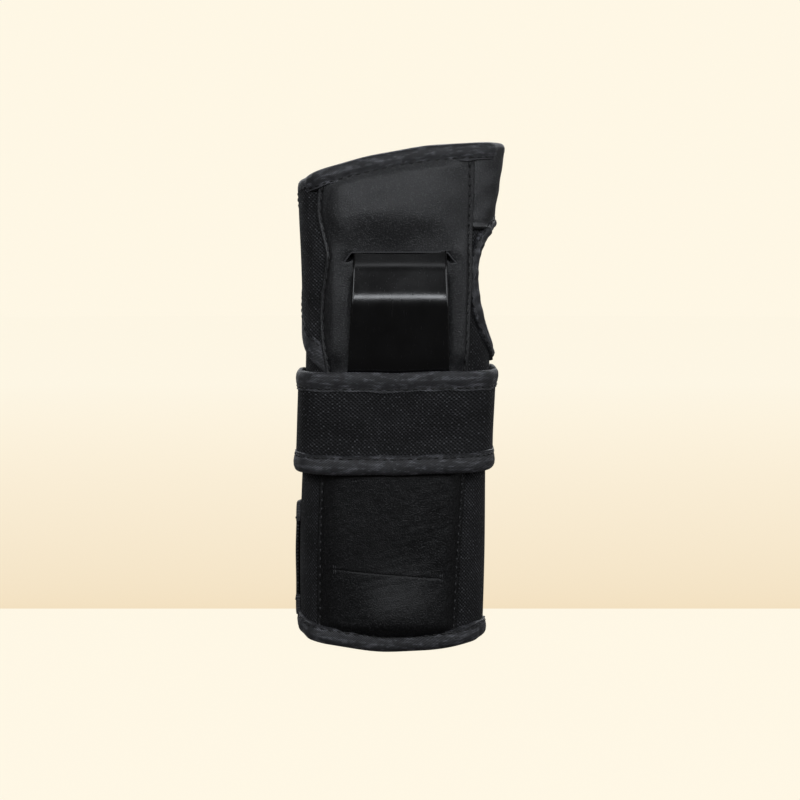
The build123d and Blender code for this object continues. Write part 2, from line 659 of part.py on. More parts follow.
PIECES = {
    "palm_lining": palm_lining,
    "palm_foam": palm_foam,
    "palm_mesh": palm_mesh,
    "palm_cuff_binding": palm_cuff_binding,
    "palm_top_binding": palm_top_binding,
    "palm_thumb_binding": palm_thumb_binding,
    "opening_piping": opening_piping,
    "palm_splint": palm_splint,
    "palm_pad": palm_pad,
    "palm_panel": palm_panel,
    "forearm_pad": forearm_pad,
    "forearm_panel": forearm_panel,
    "thumb_patch_palm": thumb_patch_palm,
    "top_strap_anchor": top_strap_anchor,
    "bottom_strap_anchor": bottom_strap_anchor,
    "palm_band": palm_band,
    "palm_band_binding": palm_band_binding,
    "back_lining": back_lining,
    "back_foam": back_foam,
    "back_splint": back_splint,
    "back_mesh": back_mesh,
    "loop_panel": loop_panel,
    "back_cuff_binding": back_cuff_binding,
    "back_top_binding": back_top_binding,
    "back_thumb_binding": back_thumb_binding,
    "flap_piping": flap_piping,
    "thumb_patch_back": thumb_patch_back,
    "middle_strap_turn": middle_strap_turn,
    "middle_strap_turn_binding": middle_strap_turn_binding,
    "top_strap_root": top_strap_root,
    "top_strap_root_binding": top_strap_root_binding,
    "top_strap_tab": top_strap_tab,
    "top_strap_tab_binding": top_strap_tab_binding,
    "top_strap_hook": top_strap_hook,
    "bottom_strap_root": bottom_strap_root,
    "bottom_strap_root_binding": bottom_strap_root_binding,
    "bottom_strap_tab": bottom_strap_tab,
    "bottom_strap_tab_binding": bottom_strap_tab_binding,
    "bottom_strap_hook": bottom_strap_hook,
    "middle_strap": middle_strap,
    "middle_strap_binding": middle_strap_binding,
    "middle_strap_tab": middle_strap_tab,
    "middle_strap_tab_binding": middle_strap_tab_binding,
    "middle_strap_hook": middle_strap_hook,
    "middle_patch": middle_patch,
    "middle_patch_tab": middle_patch_tab,
}

os.makedirs("parts", exist_ok=True)
for name, piece in PIECES.items():
    piece.part.label = name
    export_step(piece.part, f"parts/{name}.step")

# Heights and depths that the joints and mounts use
back_face = AXIS_Y + cavity_at(WRIST_Z)[1] + WEBBING_OUT[2] + BINDING_T
print(f"middle plane y {AXIS_Y:.3f}, back face y {back_face:.3f}")
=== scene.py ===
# %% [markdown]
# # A wrist guard, piece by piece
# A wrist guard is a short padded sleeve. A stiff bent splint stands off the heel of the hand, and three
# straps with hooks on them close the sleeve round the forearm. Almost everything on it is black cloth, so
# what the eye reads is relief: weave, folded tape, stitches, leather grain and the gloss of the splint.
# The solid model gives every piece its place. This lesson makes the cloth, leather and thread round it.

# %% Load the solid model
import math

import bmesh
import bpy
import numpy as np
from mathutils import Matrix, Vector


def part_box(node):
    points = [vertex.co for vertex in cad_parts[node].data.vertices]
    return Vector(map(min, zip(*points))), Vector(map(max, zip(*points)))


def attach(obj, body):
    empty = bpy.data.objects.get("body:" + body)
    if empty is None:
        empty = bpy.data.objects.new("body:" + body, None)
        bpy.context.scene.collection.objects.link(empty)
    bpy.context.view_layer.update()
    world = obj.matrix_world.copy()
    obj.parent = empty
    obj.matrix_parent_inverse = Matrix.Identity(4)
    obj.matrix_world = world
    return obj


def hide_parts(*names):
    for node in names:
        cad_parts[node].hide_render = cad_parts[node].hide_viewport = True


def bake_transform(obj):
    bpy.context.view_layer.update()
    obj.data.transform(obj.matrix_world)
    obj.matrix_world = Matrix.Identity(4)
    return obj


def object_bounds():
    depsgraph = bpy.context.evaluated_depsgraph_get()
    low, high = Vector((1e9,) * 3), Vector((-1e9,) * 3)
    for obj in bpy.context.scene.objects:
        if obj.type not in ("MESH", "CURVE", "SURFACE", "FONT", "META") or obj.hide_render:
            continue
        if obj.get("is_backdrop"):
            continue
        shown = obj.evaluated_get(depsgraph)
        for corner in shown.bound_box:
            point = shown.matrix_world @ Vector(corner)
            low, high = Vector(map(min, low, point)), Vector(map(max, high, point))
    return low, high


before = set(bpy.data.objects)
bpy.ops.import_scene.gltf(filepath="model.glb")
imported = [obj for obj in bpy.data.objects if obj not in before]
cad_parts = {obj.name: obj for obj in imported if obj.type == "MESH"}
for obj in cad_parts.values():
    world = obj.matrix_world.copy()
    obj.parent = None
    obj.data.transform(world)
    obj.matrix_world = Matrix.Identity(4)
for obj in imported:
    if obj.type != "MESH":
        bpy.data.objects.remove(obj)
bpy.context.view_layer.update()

# %% [markdown]
# ## The sleeve's surface
# Every cloth piece lies on the sleeve, so the sleeve is described once: a rounded oval at each height.
# A place on it is a girth position u (0 in the middle of the palm, growing towards the thumb), a height z
# and a distance d off the mesh cloth, all in millimetres. Panels, straps, tape and thread then need only
# u, z and d.

# %% The sleeve's oval at each height
MM = 0.001
MIDDLE_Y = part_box("back_lining")[0].y / MM - 0.2
LEVELS = (0.0, 30.0, 85.0, 112.0, 132.0, 158.0, 176.0, 192.0)
THUMB_SIDE_X = (33.6, 34.4, 35.0, 36.2, 35.8, 36.0, 38.6, 41.0)
LITTLE_SIDE_X = (-36.0, -36.4, -34.6, -33.8, -33.6, -34.4, -35.2, -36.6)
HALF_DEPTH = (22.8, 22.8, 22.0, 21.6, 21.4, 21.1, 20.8, 20.5)
SQUARENESS = 2.9


def smooth(at, knots, values):
    """A soft curve through a few known values."""
    knots, values = np.asarray(knots, float), np.asarray(values, float)
    slopes = np.gradient(values, knots)
    i = np.clip(np.searchsorted(knots, at) - 1, 0, len(knots) - 2)
    step = knots[i + 1] - knots[i]
    t = np.clip((at - knots[i]) / step, 0.0, 1.0)
    rise = values[i] * (1 + 2 * t) * (1 - t) ** 2 + values[i + 1] * t * t * (3 - 2 * t)
    return rise + step * (slopes[i] * t * (1 - t) ** 2 - slopes[i + 1] * t * t * (1 - t))


def oval(turn):
    """Unit oval at a turn from the middle of the palm."""
    c, s = np.sin(turn), -np.cos(turn)
    return np.sign(c) * np.abs(c) ** (2 / SQUARENESS), np.sign(s) * np.abs(s) ** (2 / SQUARENESS)


TURNS = np.linspace(-math.pi, math.pi, 1441)
reference = np.stack(oval(TURNS), 1) * (35.2, 22.0)
lengths = np.concatenate([[0.0], np.cumsum(np.linalg.norm(np.diff(reference, axis=0), axis=1))])
GIRTH = lengths[-1]
QUARTER = GIRTH / 4
print("girth of the sleeve", round(GIRTH, 1), "mm")


def skin(u, z, d=0.0):
    """Points on the sleeve, in millimetres."""
    u, z, d = np.broadcast_arrays(np.asarray(u, float), z, d)
    turn = np.interp((u + GIRTH / 2) % GIRTH, lengths, TURNS)
    ex, ey = oval(turn)
    thumb, little = smooth(z, LEVELS, THUMB_SIDE_X), smooth(z, LEVELS, LITTLE_SIDE_X)
    half_x, half_y = (thumb - little) / 2, smooth(z, LEVELS, HALF_DEPTH)
    nx = np.sign(ex) * np.abs(ex) ** (SQUARENESS - 1) / half_x
    ny = np.sign(ey) * np.abs(ey) ** (SQUARENESS - 1) / half_y
    size = np.hypot(nx, ny)
    x = (thumb + little) / 2 + half_x * ex + d * nx / size
    y = MIDDLE_Y + half_y * ey + d * ny / size
    return np.stack([x, y, z], -1)


PALM = np.linspace(-QUARTER, QUARTER, 181)
BACK = np.linspace(QUARTER, 3 * QUARTER, 181)


def u_at(x, z, face=PALM, d=0.0):
    """Girth position of a side-to-side place x on the palm or the back."""
    x, z = np.broadcast_arrays(np.asarray(x, float), z)
    found = np.empty(x.size)
    for i, (place, height) in enumerate(zip(x.ravel(), z.ravel())):
        row = skin(face, height, d)[:, 0]
        order = np.argsort(row)
        found[i] = np.interp(place, row[order], face[order])
    return found.reshape(x.shape)


TOP_LINE_X = (-43.0, -20.0, 0.0, 20.0, 43.0)
TOP_LINE_Z = (173.5, 180.6, 185.2, 187.9, 189.1)


def top_edge(u, drop=0.0):
    """Height of the slanted top edge at a girth position."""
    x = skin(u, 184.0)[..., 0]
    return smooth(x, TOP_LINE_X, TOP_LINE_Z) - drop


CUFF_RISE = ((-QUARTER - 22, 0.6), (-QUARTER - 4, 5.2), (-24.0, 2.6), (0.0, 0.3), (22.0, 1.6),
             (QUARTER - 8, 3.4), (QUARTER + 8, 1.2), (QUARTER + 30, 0.3), (3 * QUARTER, 0.3))


def cuff_edge(u):
    """Height of the cuff's rim, which lifts a little at both sides of the palm."""
    return smooth(u, [place for place, _ in CUFF_RISE], [rise for _, rise in CUFF_RISE])


# %% [markdown]
# ## Turning places into meshes
# A cloth piece is a thin slab: a grid of places with an outer and an inner distance, closed round its rim.
# A tape is one profile carried along a path of places. Both keep their own cloth coordinates in an attribute
# called lay, in metres along and across the cloth, so that the weave follows the piece wherever it turns.

# %% Slabs of cloth
def of(value, *places):
    """A value that is either a number or a function of place."""
    return value(*places) if callable(value) else value


def placed(name, data):
    """An object in the scene that holds a mesh, a lamp or a camera."""
    thing = bpy.data.objects.new(name, data)
    bpy.context.scene.collection.objects.link(thing)
    return thing


def settle(name, points, faces, lay, finish):
    """A mesh object at the origin, with smooth faces that point outwards and its cloth coordinates."""
    mesh = bpy.data.meshes.new(name)
    mesh.from_pydata(np.asarray(points) * MM, [], faces)
    mesh.materials.append(finish)
    place = mesh.attributes.new("lay", "FLOAT_VECTOR", "POINT")
    flat = np.zeros((len(points), 3))
    flat[:, :2] = np.asarray(lay) * MM
    place.data.foreach_set("vector", flat.ravel())
    shape = bmesh.new()
    shape.from_mesh(mesh)
    bmesh.ops.recalc_face_normals(shape, faces=shape.faces)
    shape.to_mesh(mesh)
    shape.free()
    mesh.polygons.foreach_set("use_smooth", [True] * len(mesh.polygons))
    mesh.set_sharp_from_angle(angle=math.radians(50))
    return placed(name, mesh)


def cells_round(keep):
    """How many kept cells meet at each grid corner."""
    count = np.zeros((keep.shape[0] + 1, keep.shape[1] + 1), int)
    for down in (0, 1):
        for right in (0, 1):
            count[down:down + keep.shape[0], right:right + keep.shape[1]] += keep
    return count


def cut_out(u, z, outline, inside=False):
    """Which cells lie outside a closed outline, or inside it, with the cells' corners drawn onto it."""
    middle_u = (u[:-1, :-1] + u[1:, 1:]) / 2
    middle_z = (z[:-1, :-1] + z[1:, 1:]) / 2
    within = np.zeros(middle_u.shape, bool)
    for (u0, z0), (u1, z1) in zip(outline, np.roll(outline, -1, axis=0)):
        crosses = (z0 > middle_z) != (z1 > middle_z)
        within ^= crosses & (middle_u < (u1 - u0) * (middle_z - z0) / ((z1 - z0) or 1e-9) + u0)
    keep = within if inside else ~within
    count = cells_round(keep)
    rim = (count > 0) & (count < 4)
    rim[[0, -1], :] = False
    rim[:, [0, -1]] = False
    for row, column in zip(*np.nonzero(rim)):
        here = np.array((u[row, column], z[row, column]))
        steps = np.roll(outline, -1, axis=0) - outline
        share = np.clip(((here - outline) * steps).sum(1) / ((steps ** 2).sum(1) + 1e-9), 0, 1)
        near = outline + steps * share[:, None]
        u[row, column], z[row, column] = near[np.argmin(((near - here) ** 2).sum(1))]
    return keep


def slab(name, u, z, outer, inner, finish, keep=None, flush=False):
    """A closed cloth slab between two distances off the sleeve, soft at its rim unless flush."""
    if keep is None:
        keep = np.ones((u.shape[0] - 1, u.shape[1] - 1), bool)
    outer, inner = np.broadcast_to(outer, u.shape), np.broadcast_to(inner, u.shape)
    count = cells_round(keep)
    met = count.copy()
    if flush:
        met[:, [0, -1]] *= 2
    rim = (met > 0) & (met < 4)
    middle = (outer + inner) / 2
    pinch = np.where(rim, 0.35, 1.0)
    used = count > 0
    number = np.full(u.shape, -1)
    number[used] = np.arange(used.sum())
    total = int(used.sum())
    points = np.concatenate([
        skin(u[used], z[used], (middle + (outer - middle) * pinch)[used]),
        skin(u[used], z[used], (middle + (inner - middle) * pinch)[used]),
    ])
    faces, edges = [], {}
    for row, column in zip(*np.nonzero(keep)):
        corners = [int(number[row + a, column + b]) for a, b in ((0, 0), (0, 1), (1, 1), (1, 0))]
        faces.append(corners)
        faces.append([total + corner for corner in reversed(corners)])
        for a, b in zip(corners, corners[1:] + corners[:1]):
            if (b, a) in edges:
                del edges[(b, a)]
            else:
                edges[(a, b)] = True
    faces += [[b, a, total + a, total + b] for a, b in edges]
    lay = np.stack([u[used], z[used]], 1)
    return settle(name, points, faces, np.concatenate([lay, lay]), finish)


def grid(u_low, u_high, low, high, step=1.0):
    """A grid of places between two girth positions, and between two heights or functions of the girth."""
    across = np.linspace(0, 1, max(2, int(abs(u_high - u_low) / step) + 1))
    u_line = u_low + (u_high - u_low) * across
    bottom, top = (np.full(u_line.shape, of(edge, u_line), float) for edge in (low, high))
    up = np.linspace(0, 1, max(2, int(np.max(top - bottom) / step) + 1))[:, None]
    return np.broadcast_to(u_line, (len(up), len(u_line))).copy(), bottom + (top - bottom) * up


# %% Folded tape along a path
def wander(along, seed, lengths_mm=(9.0, 17.0, 31.0)):
    """A quiet, repeatable waver along a path, between about -1 and 1."""
    rng = np.random.default_rng(seed)
    return sum(np.sin(2 * math.pi * along / length + rng.uniform(0, 6.28)) for length in lengths_mm) / 2


def evenly(path, step=0.8):
    """The same path with evenly spaced places."""
    path = np.asarray(path, float)
    far = np.concatenate([[0.0], np.cumsum(np.linalg.norm(np.diff(path, axis=0), axis=1))])
    marks = np.linspace(0, far[-1], max(3, int(far[-1] / step) + 1))
    return np.stack([np.interp(marks, far, path[:, 0]), np.interp(marks, far, path[:, 1])], 1), marks


def heading(path, closed=False):
    """Unit direction at each place of a path, and its left-hand side."""
    if closed:
        ahead = np.roll(path, -1, axis=0) - np.roll(path, 1, axis=0)
    else:
        ahead = np.gradient(path, axis=0)
    ahead /= np.linalg.norm(ahead, axis=1)[:, None]
    return ahead, np.stack([-ahead[:, 1], ahead[:, 0]], 1)


def rounded(corners, radii, steps=10):
    """An open path through corners, each turned with its own radius."""
    path = [np.array(corners[0], float)]
    for before, corner, after, radius in zip(corners, corners[1:], corners[2:], radii):
        corner = np.array(corner, float)
        a, b = np.array(before, float) - corner, np.array(after, float) - corner
        a, b = a / np.linalg.norm(a), b / np.linalg.norm(b)
        reach = radius / math.tan(math.acos(np.clip(a @ b, -1, 1)) / 2)
        start, end = corner + a * reach, corner + b * reach
        for t in np.linspace(0, 1, steps):
            path.append(start * (1 - t) ** 2 + corner * 2 * t * (1 - t) + end * t * t)
    path.append(np.array(corners[-1], float))
    return np.array(path)


STITCH_IN = 0.82


def tape_profile():
    """Places across a folded tape: share of its width, distance past the fold, side of the cloth, height."""
    face = [(1.0, 0.05), (0.97, 0.5), (STITCH_IN, 0.22), (0.66, 0.75), (0.4, 1.0), (0.18, 0.85), (0.04, 0.4)]
    outer = [(b, 0.0, 1.0, h) for b, h in face]
    fold = [(0.0, -math.sin(t), math.cos(t), 0.0) for t in np.linspace(0.4, math.pi - 0.4, 6)]
    inner = [(b, 0.0, -1.0, -0.5 * h) for b, h in reversed(face)]
    return np.array(outer + fold + inner)


def tube_faces(count, ring, closed=False):
    """Faces between rings of points that follow one another, with both ends capped unless they meet."""
    faces = []
    for i in range(count if closed else count - 1):
        j = (i + 1) % count
        faces += [[i * ring + k, j * ring + k, j * ring + (k + 1) % ring, i * ring + (k + 1) % ring]
                  for k in range(ring)]
    if not closed:
        faces += [list(range(ring)), list(range((count - 1) * ring, count * ring))[::-1]]
    return faces


def tape(name, path, side, lift, finish, width, cloth, puff, closed, seed, pucker):
    """Tape folded over the cloth's edge. side is 1 where the cloth is on the path's left, else -1."""
    path, along = evenly(path)
    if closed:
        path, along = path[:-1], along[:-1]
    _, left = heading(path, closed)
    b, past, face, height = tape_profile().T
    place = path[:, 0] + path[:, 1]
    wide = (1 + 0.04 * wander(place, seed)) * of(width, path[:, 0], path[:, 1])
    shift = 0.2 * wander(place, seed + 7, (23.0, 41.0, 67.0))
    swell = (1 + pucker * wander(place, seed + 3, (4.1, 6.7, 11.0))) * of(puff, path[:, 0])
    half = np.full(len(path), of(cloth, path[:, 0])) / 2
    inward = b * wide[:, None] + past * np.minimum(0.9, half * 0.5)[:, None] + shift[:, None]
    u = path[:, :1] + side * left[:, :1] * inward
    z = path[:, 1:] + side * left[:, 1:] * inward
    height = face * half[:, None] + height * swell[:, None]
    count, ring = inward.shape
    points = skin(u, z, lift(u, z) + height).reshape(-1, 3)
    lay = np.stack([np.broadcast_to(along[:, None], u.shape), inward], -1).reshape(-1, 2)
    return settle(name, points, tube_faces(count, ring, closed), lay, finish)


# %% [markdown]
# ## Finishes
# All of the finishes are worked out by nodes. Writing the maths as Python expressions keeps them readable:
# a Value wraps one socket, and adding or multiplying two of them adds the node that does it.

# %% Shader expressions
class Value:
    """One number or vector in a shader, with Python's operators."""

    def __init__(self, finish, socket):
        self.finish, self.socket = finish, socket

    def _with(self, operation, first, second=None):
        inputs = [first] if second is None else [first, second]
        return self.finish.add("ShaderNodeMath", {"operation": operation}, *inputs)

    def __add__(self, other):
        return self._with("ADD", self, other)

    def __sub__(self, other):
        return self._with("SUBTRACT", self, other)

    def __rsub__(self, other):
        return self._with("SUBTRACT", other, self)

    def __mul__(self, other):
        return self._with("MULTIPLY", self, other)

    def __pow__(self, other):
        return self._with("POWER", self, other)

    def highest(self, other):
        return self._with("MAXIMUM", self, other)

    def cosine(self):
        return self._with("COSINE", self)

    def wave(self):
        """A soft ridge between 0 and 1 at every whole turn."""
        return self.cosine() * 0.5 + 0.5

    __radd__, __rmul__ = __add__, __mul__


class Finish:
    """A material built from expressions."""

    def __init__(self, name):
        self.material = bpy.data.materials.new(name)
        self.material.use_nodes = True
        self.nodes, self.links = self.material.node_tree.nodes, self.material.node_tree.links
        self.shader = self.nodes["Principled BSDF"]

    def add(self, kind, settings, *inputs, output=0, **named):
        node = self.nodes.new(kind)
        for key, setting in settings.items():
            setattr(node, key, setting)
        for key, given in list(enumerate(inputs)) + list(named.items()):
            self.feed(node.inputs[key], given)
        return Value(self, node.outputs[output])

    def feed(self, socket, given):
        if isinstance(given, Value):
            self.links.new(given.socket, socket)
        else:
            socket.default_value = given

    def set(self, **named):
        for key, given in named.items():
            self.feed(self.shader.inputs[key.replace("_", " ")], given)

    def place(self, own=True):
        """The piece's own cloth coordinates, or its place in the guard, in metres."""
        if own:
            return self.add("ShaderNodeAttribute", {"attribute_name": "lay"}, output="Vector")
        return self.add("ShaderNodeTexCoord", {}, output="Object")

    def stretched(self, vector, by):
        return self.add("ShaderNodeVectorMath", {"operation": "MULTIPLY"}, vector, by)

    def split(self, vector):
        node = self.nodes.new("ShaderNodeSeparateXYZ")
        self.links.new(vector.socket, node.inputs[0])
        return [Value(self, out) for out in node.outputs]

    def noise(self, vector, scale, detail=3.0, roughness=0.55):
        inputs = {"Vector": vector, "Scale": scale, "Detail": detail, "Roughness": roughness}
        return self.add("ShaderNodeTexNoise", {}, **inputs)

    def between(self, share, low, high):
        """A colour part-way between two colours."""
        node = self.nodes.new("ShaderNodeMix")
        node.data_type = "RGBA"
        for index, given in ((0, share), (6, (*low, 1.0)), (7, (*high, 1.0))):
            self.feed(node.inputs[index], given)
        return Value(self, node.outputs[2])

    def band(self, value, low, high, to_low=0.0, to_high=1.0):
        return self.add("ShaderNodeMapRange", {"clamp": True}, value, low, high, to_low, to_high)

    def bump(self, height, distance, strength=1.0, normal=None):
        inputs = {"Height": height, "Distance": distance, "Strength": strength}
        if normal is not None:
            inputs["Normal"] = normal
        return self.add("ShaderNodeBump", {}, **inputs)


# %% [markdown]
# ### Mesh cloth
# The body and the straps are faced with a net of fine threads that cross on the slant, about a millimetre
# apart. Two slanted ridges make the threads, the gaps between them go nearly black, and a few crossings
# get a small highlight painted into their colour.

# %% Mesh cloth, twill tape and smooth patch
NET_PITCH, RIB_PITCH, TAPE_PITCH, PATCH_PITCH, SLANT_PITCH = 0.00098, 0.00062, 0.00031, 0.0005, 0.0011


def mesh_cloth(name):
    """A net of slanted threads, nearly black between them."""
    cloth = Finish(name)
    u, v, _ = cloth.split(cloth.place())
    warp = cloth.noise(cloth.place(), 90.0, 2.0) * 0.35
    turns = math.tau / 1.414 / NET_PITCH
    first = ((u + v) * turns + warp * 3.0).wave()
    second = ((u - v) * turns + warp * 3.0).wave()
    threads = first.highest(second)
    crossing = first * second
    worn = cloth.band(cloth.noise(cloth.place(), 55.0, 4.0), 0.38, 0.68)
    # Painted highlight: a few thread crossings are lightened in the colour, and made less rough there.
    painted_crossing_glint = cloth.band(cloth.noise(cloth.place(), 1250.0, 1.0), 0.53, 0.68) * crossing
    share = threads ** 2.2 * (0.06 + worn * 0.12) + first ** 2.0 * (0.04 + worn * 0.13) + painted_crossing_glint * 0.95
    cloth.set(Base_Color=cloth.between(share, (0.0009, 0.0009, 0.0009), (0.095, 0.096, 0.104)))
    cloth.set(Roughness=cloth.band(painted_crossing_glint, 0.0, 0.6, 0.75, 0.32), Specular_IOR_Level=0.25)
    cloth.set(Sheen_Weight=0.02, Sheen_Roughness=0.4)
    cloth.set(Normal=cloth.bump(threads + crossing * 0.4, 0.00016, 0.9))
    return cloth.material


def twill_tape(name):
    """Soft woven tape: close slanted ribs, with brushed lines of sheen painted into its colour along its
    folds.
    """
    cloth = Finish(name)
    along, across, _ = cloth.split(cloth.place())
    bend = cloth.noise(cloth.place(), 160.0, 2.0) * 1.6
    ribs = ((along * 0.55 + across) * (math.tau / RIB_PITCH) + bend).wave()
    threads = (along * (math.tau / TAPE_PITCH)).wave()
    worn = cloth.band(cloth.noise(cloth.place(), 120.0, 5.0, 0.65), 0.35, 0.7)
    brushed = cloth.stretched(cloth.place(), (0.3, 1.0, 1.0))
    # Painted sheen: brushed lines along the tape lighten its colour, most on the ribs.
    painted_sheen_streaks = cloth.band(cloth.noise(brushed, 700.0, 4.0, 0.65), 0.50, 0.68)
    share = ribs * 0.12 + threads * 0.05 + worn * 0.14 + painted_sheen_streaks * (0.25 + ribs * 0.80)
    cloth.set(Base_Color=cloth.between(share, (0.002, 0.002, 0.0023), (0.125, 0.126, 0.140)))
    cloth.set(Roughness=cloth.band(worn, 0.0, 1.0, 0.6, 0.40), Specular_IOR_Level=0.45)
    cloth.set(Sheen_Weight=0.10, Sheen_Roughness=0.35)
    puckers = cloth.noise(cloth.stretched(cloth.place(), (1.0, 0.28, 1.0)), 420.0, 3.0)
    folds = cloth.bump(puckers, 0.0005, 0.55)
    cloth.set(Normal=cloth.bump(ribs + threads * 0.3, 0.00009, 0.8, folds))
    return cloth.material


def coated_patch(name):
    """The close, smooth cloth of the patch on the middle strap."""
    cloth = Finish(name)
    u, v, _ = cloth.split(cloth.place())
    turns = math.tau / PATCH_PITCH
    threads = ((u * turns).cosine() + (v * turns).cosine()) * 0.25 + 0.5
    worn = cloth.band(cloth.noise(cloth.place(), 75.0, 4.0), 0.35, 0.7)
    slant = ((u + v) * (math.tau / SLANT_PITCH)).wave()
    # Painted sparkle: light specks are painted into the patch's colour.
    painted_sparkle_flecks = cloth.band(cloth.noise(cloth.place(), 1500.0, 2.0), 0.54, 0.68)
    share = threads * 0.12 + slant * 0.14 + worn * 0.18 + painted_sparkle_flecks * 0.56
    cloth.set(Base_Color=cloth.between(share, (0.002, 0.002, 0.0021), (0.062, 0.063, 0.066)))
    cloth.set(Roughness=cloth.band(worn, 0.0, 1.0, 0.7, 0.55), Specular_IOR_Level=0.3)
    rumple = cloth.bump(cloth.noise(cloth.place(), 130.0, 3.0), 0.0006, 0.4)
    cloth.set(Normal=cloth.bump(threads, 0.00006, 0.8, rumple))
    return cloth.material


# %% [markdown]
# ### Leather, plastic, thread and pile
# The synthetic leather has a fine pebble grain with small wrinkles between the pebbles, and a satin gloss.
# The splint is moulded plastic: smooth and glossy, with slight haze and hairline scratches.

# %% Leather, plastic, thread and pile
def grained_leather(name, roughness=0.40, tone=1.0):
    """Pebbled synthetic leather, darker or lighter by its tone."""
    hide = Finish(name)
    place = hide.place(own=False)
    pebbles = hide.add("ShaderNodeTexVoronoi", {"feature": "SMOOTH_F1"}, Vector=place, Scale=2300.0)
    creases = hide.noise(place, 2100.0, 3.0, 0.6)
    soft = hide.noise(place, 60.0, 3.0)
    grain = (1.0 - pebbles) * 0.7 + creases * 0.6
    # Painted sparkle: light specks in the colour stand in for the grain's sparkle; they also make the grain
    # glossier and raise it a little.
    painted_sparkle_flecks = hide.band(hide.noise(place, 1900.0, 2.0), 0.5, 0.70)
    worn = hide.band(soft, 0.3, 0.75)
    dark = [tone * part for part in (0.0025, 0.0026, 0.0034)]
    light = [tone * part for part in (0.060, 0.0605, 0.063)]
    hide.set(Base_Color=hide.between(grain * 0.05 + worn * 0.03 + painted_sparkle_flecks * 0.5, dark, light))
    rough = creases * 0.6 + soft * 0.5 - painted_sparkle_flecks * 0.3
    hide.set(Roughness=hide.band(rough, 0.1, 0.8, roughness - 0.12, roughness + 0.12))
    dents = hide.bump(hide.noise(place, 95.0, 2.0), 0.0006, 0.22)
    hide.set(Normal=hide.bump(grain + painted_sparkle_flecks * 0.5, 0.00012, 1.0, dents))
    hide.set(Specular_IOR_Level=0.1 + 0.4 * tone)
    return hide.material


def moulded_plastic(name):
    """Glossy black plastic with hairline scratches along its length."""
    body = Finish(name)
    place = body.place(own=False)
    scratches = body.band(body.noise(body.stretched(place, (1.0, 1.0, 0.08)), 2600.0, 2.0), 0.66, 0.74)
    haze = body.noise(place, 70.0, 4.0)
    body.set(Base_Color=body.between(haze, (0.0016, 0.0016, 0.0018), (0.0034, 0.0034, 0.0037)))
    body.set(Roughness=body.band(haze, 0.3, 0.75, 0.17, 0.26) + scratches * 0.12)
    body.set(Normal=body.bump(haze + scratches * 0.1, 0.0004, 0.12))
    return body.material


def thread_finish(name, tone):
    """Twisted thread."""
    thread = Finish(name)
    twist = thread.noise(thread.place(own=False), 1800.0, 2.0)
    thread.set(Base_Color=thread.between(twist, (tone * 0.5,) * 3, (tone * 1.3, tone * 1.3, tone * 1.4)))
    thread.set(Roughness=thread.band(twist, 0.3, 0.7, 0.42, 0.6), Normal=thread.bump(twist, 0.0001, 0.6))
    return thread.material


def pile_finish(name, tone, roughness):
    """Brushed pile in clumps, with highlights painted on a few thread ends."""
    pile = Finish(name)
    speck = pile.noise(pile.place(own=False), 1500.0, 3.0, 0.7)
    clump = pile.noise(pile.place(own=False), 240.0, 3.0)
    # Painted highlight: light specks in the colour stand in for light caught by thread ends.
    painted_end_glints = pile.band(speck, 0.58, 0.72)
    share = pile.band(clump, 0.3, 0.7) * 0.15 + painted_end_glints * 0.85
    pile.set(Base_Color=pile.between(share, (tone * 0.03,) * 3, (tone, tone, tone * 1.06)))
    pile.set(Roughness=pile.band(painted_end_glints, 0.0, 1.0, 0.8, roughness), Specular_IOR_Level=0.12)
    pile.set(Normal=pile.bump(speck + clump * 0.6, 0.0005, 0.8))
    return pile.material


def foam_finish(name):
    """Open foam cells."""
    foam = Finish(name)
    cells = foam.add("ShaderNodeTexVoronoi", {}, Vector=foam.place(own=False), Scale=1600.0)
    foam.set(Base_Color=foam.between(cells, (0.006, 0.006, 0.006), (0.03, 0.03, 0.032)))
    foam.set(Roughness=foam.band(cells, 0.0, 0.6, 0.95, 0.8))
    foam.set(Normal=foam.bump(cells, 0.0002, 0.7))
    return foam.material


NET = mesh_cloth("Mesh cloth")
TWILL = twill_tape("Twill tape")
SMOOTH_PATCH = coated_patch("Smooth patch cloth")
LEATHER = grained_leather("Grained leather")
# The forearm's leather is a darker copy of the same leather, its painted shade, and the thumb web's leather
# a lighter copy, its painted light.
SHADED_FOREARM_HIDE = grained_leather("Leather in painted shade", 0.34, 0.42)
LIT_WEB_HIDE = grained_leather("Leather in painted light", 0.40, 1.5)
PLASTIC = moulded_plastic("Moulded plastic")
THREAD = thread_finish("Sewing thread", 0.0055)
LIGHT_THREAD = thread_finish("Light sewing thread", 0.045)
LOOPS = pile_finish("Loop pile", 0.085, 0.35)
HOOKS = pile_finish("Hook pile", 0.06, 0.4)
LINING = pile_finish("Brushed lining", 0.11, 0.6)
FOAM = foam_finish("Foam")
print(len(bpy.data.materials), "finishes")

# %% [markdown]
# ## Outlines
# The outlines come next, as side-to-side places x and heights z seen from the palm or the back, in
# millimetres. `palm` and `back` turn them into girth positions. A strap that goes round the little finger's
# side counts down past the palm instead of up, so `round_little` takes a whole girth off.

# %% Outlines in cloth coordinates
def palm(x, z):
    return float(u_at(x, z, PALM))


def back(x, z):
    return float(u_at(x, z, BACK))


def round_little(x, z):
    return back(x, z) - GIRTH


def edge_line(knots, face=PALM, d=1.5):
    """Girth position of a panel's side edge as a function of height, from (height, x) knots."""
    heights = [height for height, _ in knots]
    places = u_at([x for _, x in knots], np.array(heights), face, d)
    return lambda z: smooth(z, heights, places)


